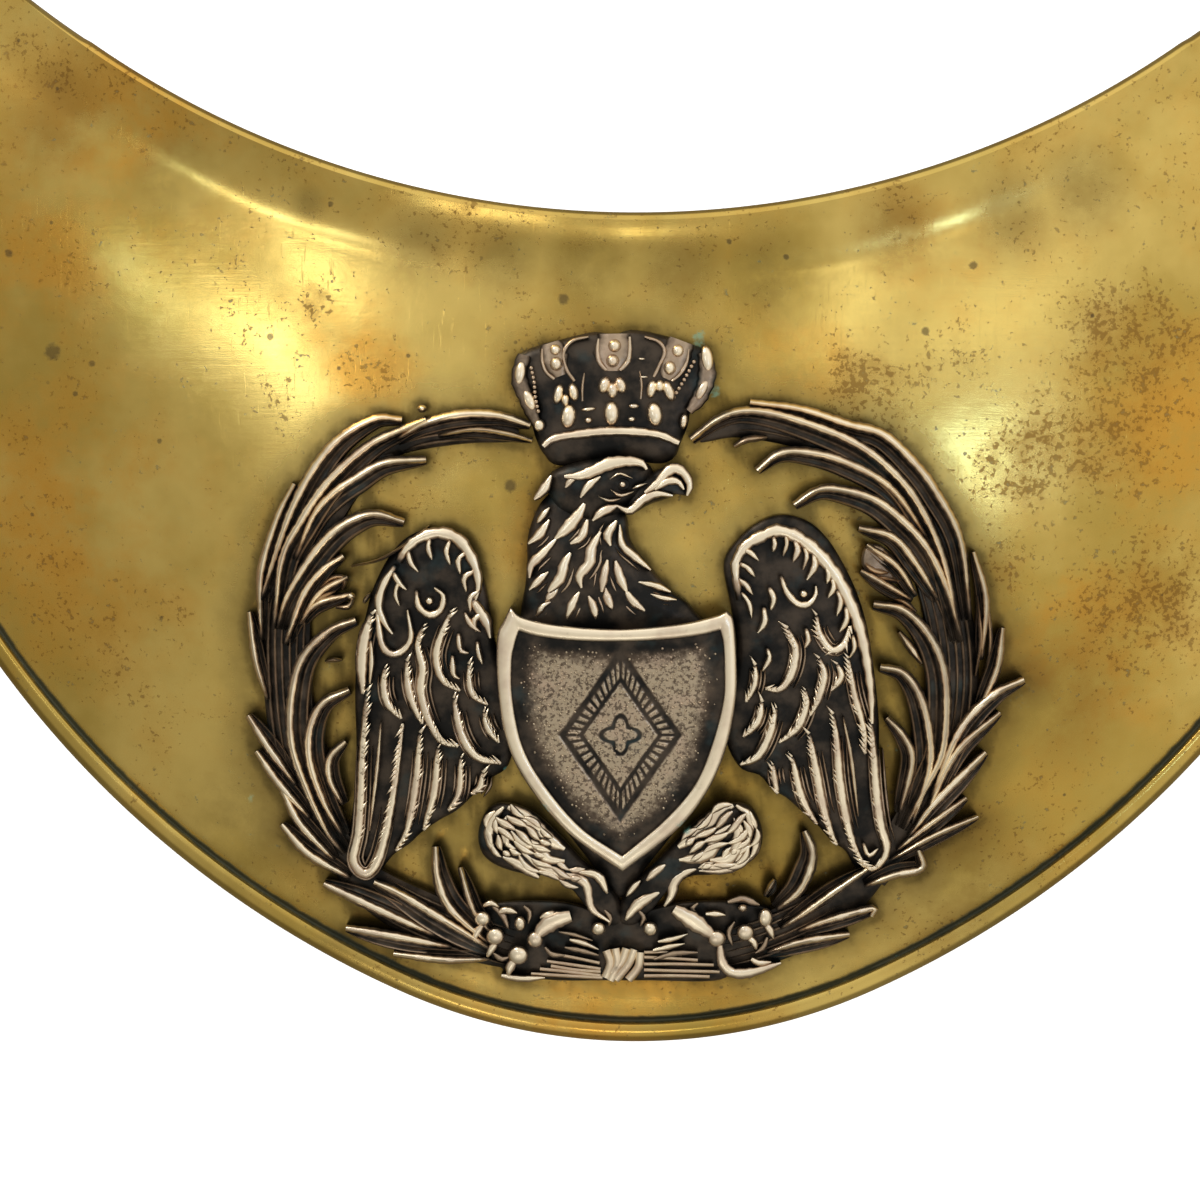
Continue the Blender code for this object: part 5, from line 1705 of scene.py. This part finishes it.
def bead_tree():
    grower = Grower("beads along a path", ["Spacing", "Radius", "Wear"])
    beads = grower.node("GeometryNodeInstanceOnPoints", {}, {
        "Points": grower.spaced(), "Instance": grower.ball(BEAD_FINENESS)})
    return grower.finish(beads)


# %% Grains over a field
GRAIN_FINENESS = 1
GRAIN_SIZES = (0.5, 1.3)
GRAINS_A_SQUARE_METRE = 3e7


def grain_tree():
    grower = Grower("grains over a field", ["Spacing", "Radius", "Wear"], seeded=True)
    share = grower.node("GeometryNodeInputNamedAttribute", {"data_type": "FLOAT"}, {"Name": "share"})
    points = grower.node("GeometryNodeDistributePointsOnFaces", {"distribute_method": "POISSON"}, {
        "Mesh": grower.given("Geometry"), "Distance Min": grower.given("Spacing"),
        "Density Max": GRAINS_A_SQUARE_METRE, "Density Factor": share, "Seed": grower.given("Seed")})
    grains = grower.node("GeometryNodeInstanceOnPoints", {}, {
        "Points": points, "Instance": grower.ball(GRAIN_FINENESS), "Scale": grower.sizes(*GRAIN_SIZES)})
    return grower.finish(grains)


# %% Round stems along a path
STEM_SIDES = 10


def stem_tree():
    grower = Grower("stems along a path", ["Radius", "Wear"])
    ring = grower.node(
        "GeometryNodeCurvePrimitiveCircle", {}, {"Resolution": STEM_SIDES, "Radius": grower.given("Radius")})
    stems = grower.node("GeometryNodeCurveToMesh", {}, {
        "Curve": grower.curve(), "Profile Curve": ring, "Fill Caps": True})
    return grower.finish(stems)


# %% Grow them
STEM_PATHS = [
    [(556, 957), (578, 961), (601, 966)], [(548, 964), (575, 968), (602, 972)],
    [(541, 972), (570, 975), (602, 979)], [(646, 960), (672, 961), (700, 963)],
    [(646, 967), (680, 967), (716, 968)], [(646, 973), (680, 974), (722, 975)],
    [(646, 979), (680, 979), (712, 980)], [(532, 977), (566, 979), (604, 981)],
    [(552, 969), (577, 973), (602, 975)], [(646, 955), (664, 955), (684, 957)],
]
TIE_PATHS = [
    [(608, 953), (612, 966), (607, 981)], [(617, 951), (619, 966), (612, 984)],
    [(636, 952), (630, 967), (617, 983)], [(642, 955), (640, 970), (630, 983)],
    [(628, 951), (623, 965), (613, 976)],
]


FIELD_START = 3
FIELD_STEP = 2
GRAVEN_LEVEL = 0.2


def field_guide():
    """The punched part of the shield's field, with the share of grains that each place gets."""
    inner = shield_ring(SHIELD_INNER)
    rings = []
    shares = []
    for step in range(FIELD_START, FIELD_RINGS, FIELD_STEP):
        share = step / FIELD_RINGS
        places = inner + (np.array(SHIELD_MIDDLE) - inner) * share
        up = np.full((len(places), 1), SHIELD_BASE + FIELD_HEIGHT)
        rings.append(np.concatenate([plan(places), up], axis=1))
        plain = engraving(places) < GRAVEN_LEVEL
        shares.append(np.clip((share - DARK_BORDER) / GRAIN_FADE, 0, 1) * plain)
    guide = bpy.data.meshes.new("field")
    faces = ring_faces(len(rings), len(inner))[:-2]
    guide.from_pydata([tuple(point) for point in np.concatenate(rings)], [], faces)
    set_attribute(guide, "share", np.concatenate(shares))
    return guide


BARB_SPACING = 5.2 * PIXEL
BARB_LENGTH = 10.5 * PIXEL
BARB_THICKNESS = 2.4 * PIXEL
BARB_LEAN = math.radians(147)
BARB_HEIGHT = WING_RISE + 0.55 * MILLIMETRE
BEAD_SPACING = 4.6 * PIXEL
BEAD_RADIUS = 2.1 * PIXEL
BEAD_HEIGHT = CROWN_RISE + 0.35 * MILLIMETRE
GRAIN_SPACING = 3.0 * PIXEL
GRAIN_RADIUS = 1.3 * PIXEL
ROUND_RODS = [
    # name, paths, height in millimetres, radius in pixels, wear
    ("stems", STEM_PATHS, 1.15, 1.9, 0.75), ("tie", TIE_PATHS, 1.4, 4.6, 0.85),
]


def grow_piece(name, tree, guide, finish, **values):
    """Grow a tree on a guide and show the result as a piece."""
    grown = tree.grow(guide, Finish=finish, **values)
    add_piece(name, laid(grown, name), finish, "silver")


barbs = barb_tree()
for name, edges, lean, seed in (
        ("right_wing_barbs", RIGHT_WING_EDGES, -BARB_LEAN, 3),
        ("left_wing_barbs", LEFT_WING_EDGES, BARB_LEAN, 4)):
    grow_piece(
        name, barbs, path_guide([crest for _, crest in edges], BARB_HEIGHT), SILVER, Spacing=BARB_SPACING,
        Length=BARB_LENGTH, Thickness=BARB_THICKNESS, Lean=lean, Wear=0.9, Seed=seed)
grow_piece(
    "crown_beads", bead_tree(), path_guide(BEAD_STRINGS, BEAD_HEIGHT), SILVER,
    Spacing=BEAD_SPACING, Radius=BEAD_RADIUS, Wear=0.62)
grow_piece(
    "shield_grains", grain_tree(), field_guide(), SHIELD_SILVER,
    Spacing=GRAIN_SPACING, Radius=GRAIN_RADIUS, Wear=FIELD_WEAR, Seed=7)
rods = stem_tree()
for name, paths, height, radius, wear in ROUND_RODS:
    grow_piece(name, rods, path_guide(paths, height * MILLIMETRE), SILVER, Radius=radius * PIXEL, Wear=wear)

# %% [markdown]
# ## What the plate's finish needs to know
# Painted shade and a thin dark line gather round the badge, and grime in the groove. Each point of the plate
# keeps its distance from both, and how deep it lies in warm places, speckled places, and places of smudges
# and painted shade.

# %% Distances for the patina
def nearness(points, spots, sharpness):
    """1 at the middle of any spot, 0 past its edge, for points in plan."""
    total = np.zeros(len(points))
    for x, y, radius in spots:
        distance = np.linalg.norm(points - plan((x, y)), axis=1)
        total = np.maximum(total, 1 - distance / (radius * PIXEL))
    return np.clip(total * sharpness, 0, 1)


PLACE_MARKS = [
    # attribute of the plate, its places, how sharp their edges are
    ("warm", WARM_PLACES, 1.3), ("speckled", SPECKLED_PLACES, 1.6), ("smudged", SMUDGES_AND_SHADE, 1.4),
]
FARTHEST_FROM_BADGE = 0.02


def mark_plate(mesh, badge_meshes):
    points = mesh_points(mesh).astype(float)
    _, from_outer = edge_distances(points[:, 0], points[:, 1] - NECK_Y)
    set_attribute(mesh, "from_groove", np.abs(from_outer - BEAD_WIDTH - GROOVE_WIDTH / 2))
    for name, places, sharpness in PLACE_MARKS:
        set_attribute(mesh, name, nearness(points[:, :2], places, sharpness))
    badge = np.concatenate([
        np.array([vertex.co[:2] for vertex in other.vertices])[::3] for other in badge_meshes])
    tree = KDTree(len(badge))
    for number, (x, y) in enumerate(badge):
        tree.insert((x, y, 0), number)
    tree.balance()
    nearest = [tree.find((x, y, 0))[2] for x, y, _ in points]
    set_attribute(mesh, "near_badge", np.minimum(nearest, FARTHEST_FROM_BADGE))


mark_plate(plate_mesh, [wreath_mesh, eagle_mesh, crown_mesh])
add_piece("plate_sheet", plate_mesh, BRASS, "brass", "plate")

# %% [markdown]
# ## Floor, light and camera
# The photo has a white ground and soft light from large boxes on both sides. Polished brass
# shows whatever is round it, so the boxes matter more for their reflections than for their light.

# %% Floor
FLOOR_HALF = 1.5
PAPER_DULL = (0.90, 0.90, 0.90, 1)
PAPER_PALE = (0.94, 0.94, 0.94, 1)
PAPER_GLOW = 0.8


def make_floor():
    form = bmesh.new()
    bmesh.ops.create_grid(form, x_segments=1, y_segments=1, size=FLOOR_HALF)
    mesh = bpy.data.meshes.new("floor")
    form.to_mesh(mesh)
    form.free()
    floor = placed("floor", mesh)
    paper = Finish("white_paper")
    grain = paper.noise(9, 2)
    tint = paper.mix(grain, PAPER_DULL, PAPER_PALE)
    mesh.materials.append(paper.set(
        Base_Color=tint, Roughness=0.9, Emission_Color=(1, 1, 1, 1), Emission_Strength=PAPER_GLOW))
    floor.visible_glossy = False


make_floor()

# %% Camera
CAMERA_DISTANCE = 1.2
SENSOR_WIDTH = 36
FARTHEST_SEEN = 10
PHOTO_SIZE = (1200, 1197)
PHOTO_MIDDLE_X = -0.00285
PHOTO_MIDDLE_Y = BADGE_Y - (PHOTO_SIZE[1] / 2 - BADGE_MIDDLE[1]) * PIXEL


def make_camera():
    data = bpy.data.cameras.new("camera")
    data.sensor_width = SENSOR_WIDTH
    data.lens = SENSOR_WIDTH * CAMERA_DISTANCE / (PHOTO_SIZE[0] * PIXEL)
    data.clip_end = FARTHEST_SEEN
    camera = placed("camera", data)
    height = float(seat(np.float64(0), np.float64(BADGE_Y)))
    camera.location = (PHOTO_MIDDLE_X, PHOTO_MIDDLE_Y, height + CAMERA_DISTANCE)
    bpy.context.scene.camera = camera
    return camera


make_camera()

# %% Lights
# Each lamp hangs where the camera sees its reflection at the given place on the photo
LAMPS = [
    # name, place in pixels, width and height in metres, radiance, colour
    ("left_window", (116, 252), (0.04, 0.08), 4.5, (0.72, 0.98, 1.30)),
    ("right_window", (985, 455), (0.06, 0.15), 6.5, (0.58, 1.00, 1.80)),
    ("left_lamp", (272, 352), (0.24, 0.10), 2.3, (0.92, 1.0, 1.15)),
    ("left_sweep", (212, 300), (0.05, 0.22), 2.6, (0.92, 1.0, 1.10)),
    ("left_strip", (300, 258), (0.10, 0.06), 5.0, (1.0, 1.0, 1.0)),
    ("right_strip", (870, 290), (0.22, 0.05), 1.6, (0.95, 1.0, 1.05)),
    ("right_lamp", (1015, 300), (0.10, 0.22), 0.6, (0.95, 1.0, 1.0)),
    ("low_left_lamp", (455, 1008), (0.24, 0.10), 2.6, (1.0, 0.97, 0.90)),
    ("low_right_lamp", (640, 1012), (0.20, 0.10), 2.8, (1.0, 0.97, 0.90)),
]
KEY_PLACE = (-0.75, 0.80, 0.55)
KEY_SIZE = 0.35
KEY_RADIANCE = 14.0
LAMP_DISTANCE = 1.1
SLOPE_STEP = 0.0002


def mirrored_place(pixel):
    """Where a lamp has to hang to be seen in the plate at a place on the photo."""
    x, y = plan(pixel)
    down = y - NECK_Y
    tilt_x = (face_height(x + SLOPE_STEP, down) - face_height(x - SLOPE_STEP, down)) / (2 * SLOPE_STEP)
    tilt_y = (face_height(x, down + SLOPE_STEP) - face_height(x, down - SLOPE_STEP)) / (2 * SLOPE_STEP)
    normal = Vector((-float(tilt_x), -float(tilt_y), 1)).normalized()
    toward = 2 * normal.z * normal - Vector((0, 0, 1))
    spot = Vector((float(x), float(y), BASE_Z + float(face_height(x, down))))
    return spot, spot + toward * LAMP_DISTANCE


def hang_lamp(name, place, aim, wide, high, radiance, tint):
    data = bpy.data.lights.new(name, "AREA")
    data.shape = "RECTANGLE"
    data.size = wide
    data.size_y = high
    data.energy = radiance * math.pi * wide * high
    data.color = tint
    lamp = placed(name, data)
    lamp.location = place
    lamp.rotation_euler = (aim - Vector(place)).to_track_quat("-Z", "Y").to_euler()


def make_lamps():
    """The lamps seen in the brass, and a low key light that rakes over the relief."""
    for name, pixel, (wide, high), radiance, tint in LAMPS:
        spot, place = mirrored_place(np.array(pixel, float))
        hang_lamp(name, place, spot, wide, high, radiance, tint)
    badge = Vector((0, BADGE_Y, BASE_Z))
    hang_lamp("key_light", KEY_PLACE, badge, KEY_SIZE, KEY_SIZE, KEY_RADIANCE, (1.0, 0.97, 0.90))


ROOM_NEAR = (0.60, 0.57, 0.51, 1)
ROOM_TONES = [
    # axis, where the tone starts and where it is full, how much of it, colour
    (1, -0.75, 0.85, 1.0, (1.05, 1.02, 0.96, 1)),
    (0, -0.20, 0.70, 0.45, (1.05, 1.01, 0.93, 1)),
    (0, -0.10, -0.75, 0.45, (0.30, 0.28, 0.24, 1)),
    (2, 0.72, 1.0, 0.60, (0.74, 0.71, 0.66, 1)),
    (2, 0.10, -0.20, 0.85, (0.16, 0.14, 0.10, 1)),
]


def make_room():
    """Soft light from all round: paler toward the far side, darker behind the camera and below."""
    world = bpy.data.worlds.new("studio")
    world.use_nodes = True
    room = Graph(world.node_tree, "Generated")
    tint = ROOM_NEAR
    for axis, start, full, share, tone in ROOM_TONES:
        tint = room.mix(room.axis(axis).ramp(start, full) * share, tint, tone)
    background = world.node_tree.nodes["Background"]
    room.feed(background.inputs["Color"], tint)
    room.feed(background.inputs["Strength"], 1.0)
    bpy.context.scene.world = world


make_lamps()
make_room()
bpy.context.scene.view_settings.view_transform = "Standard"
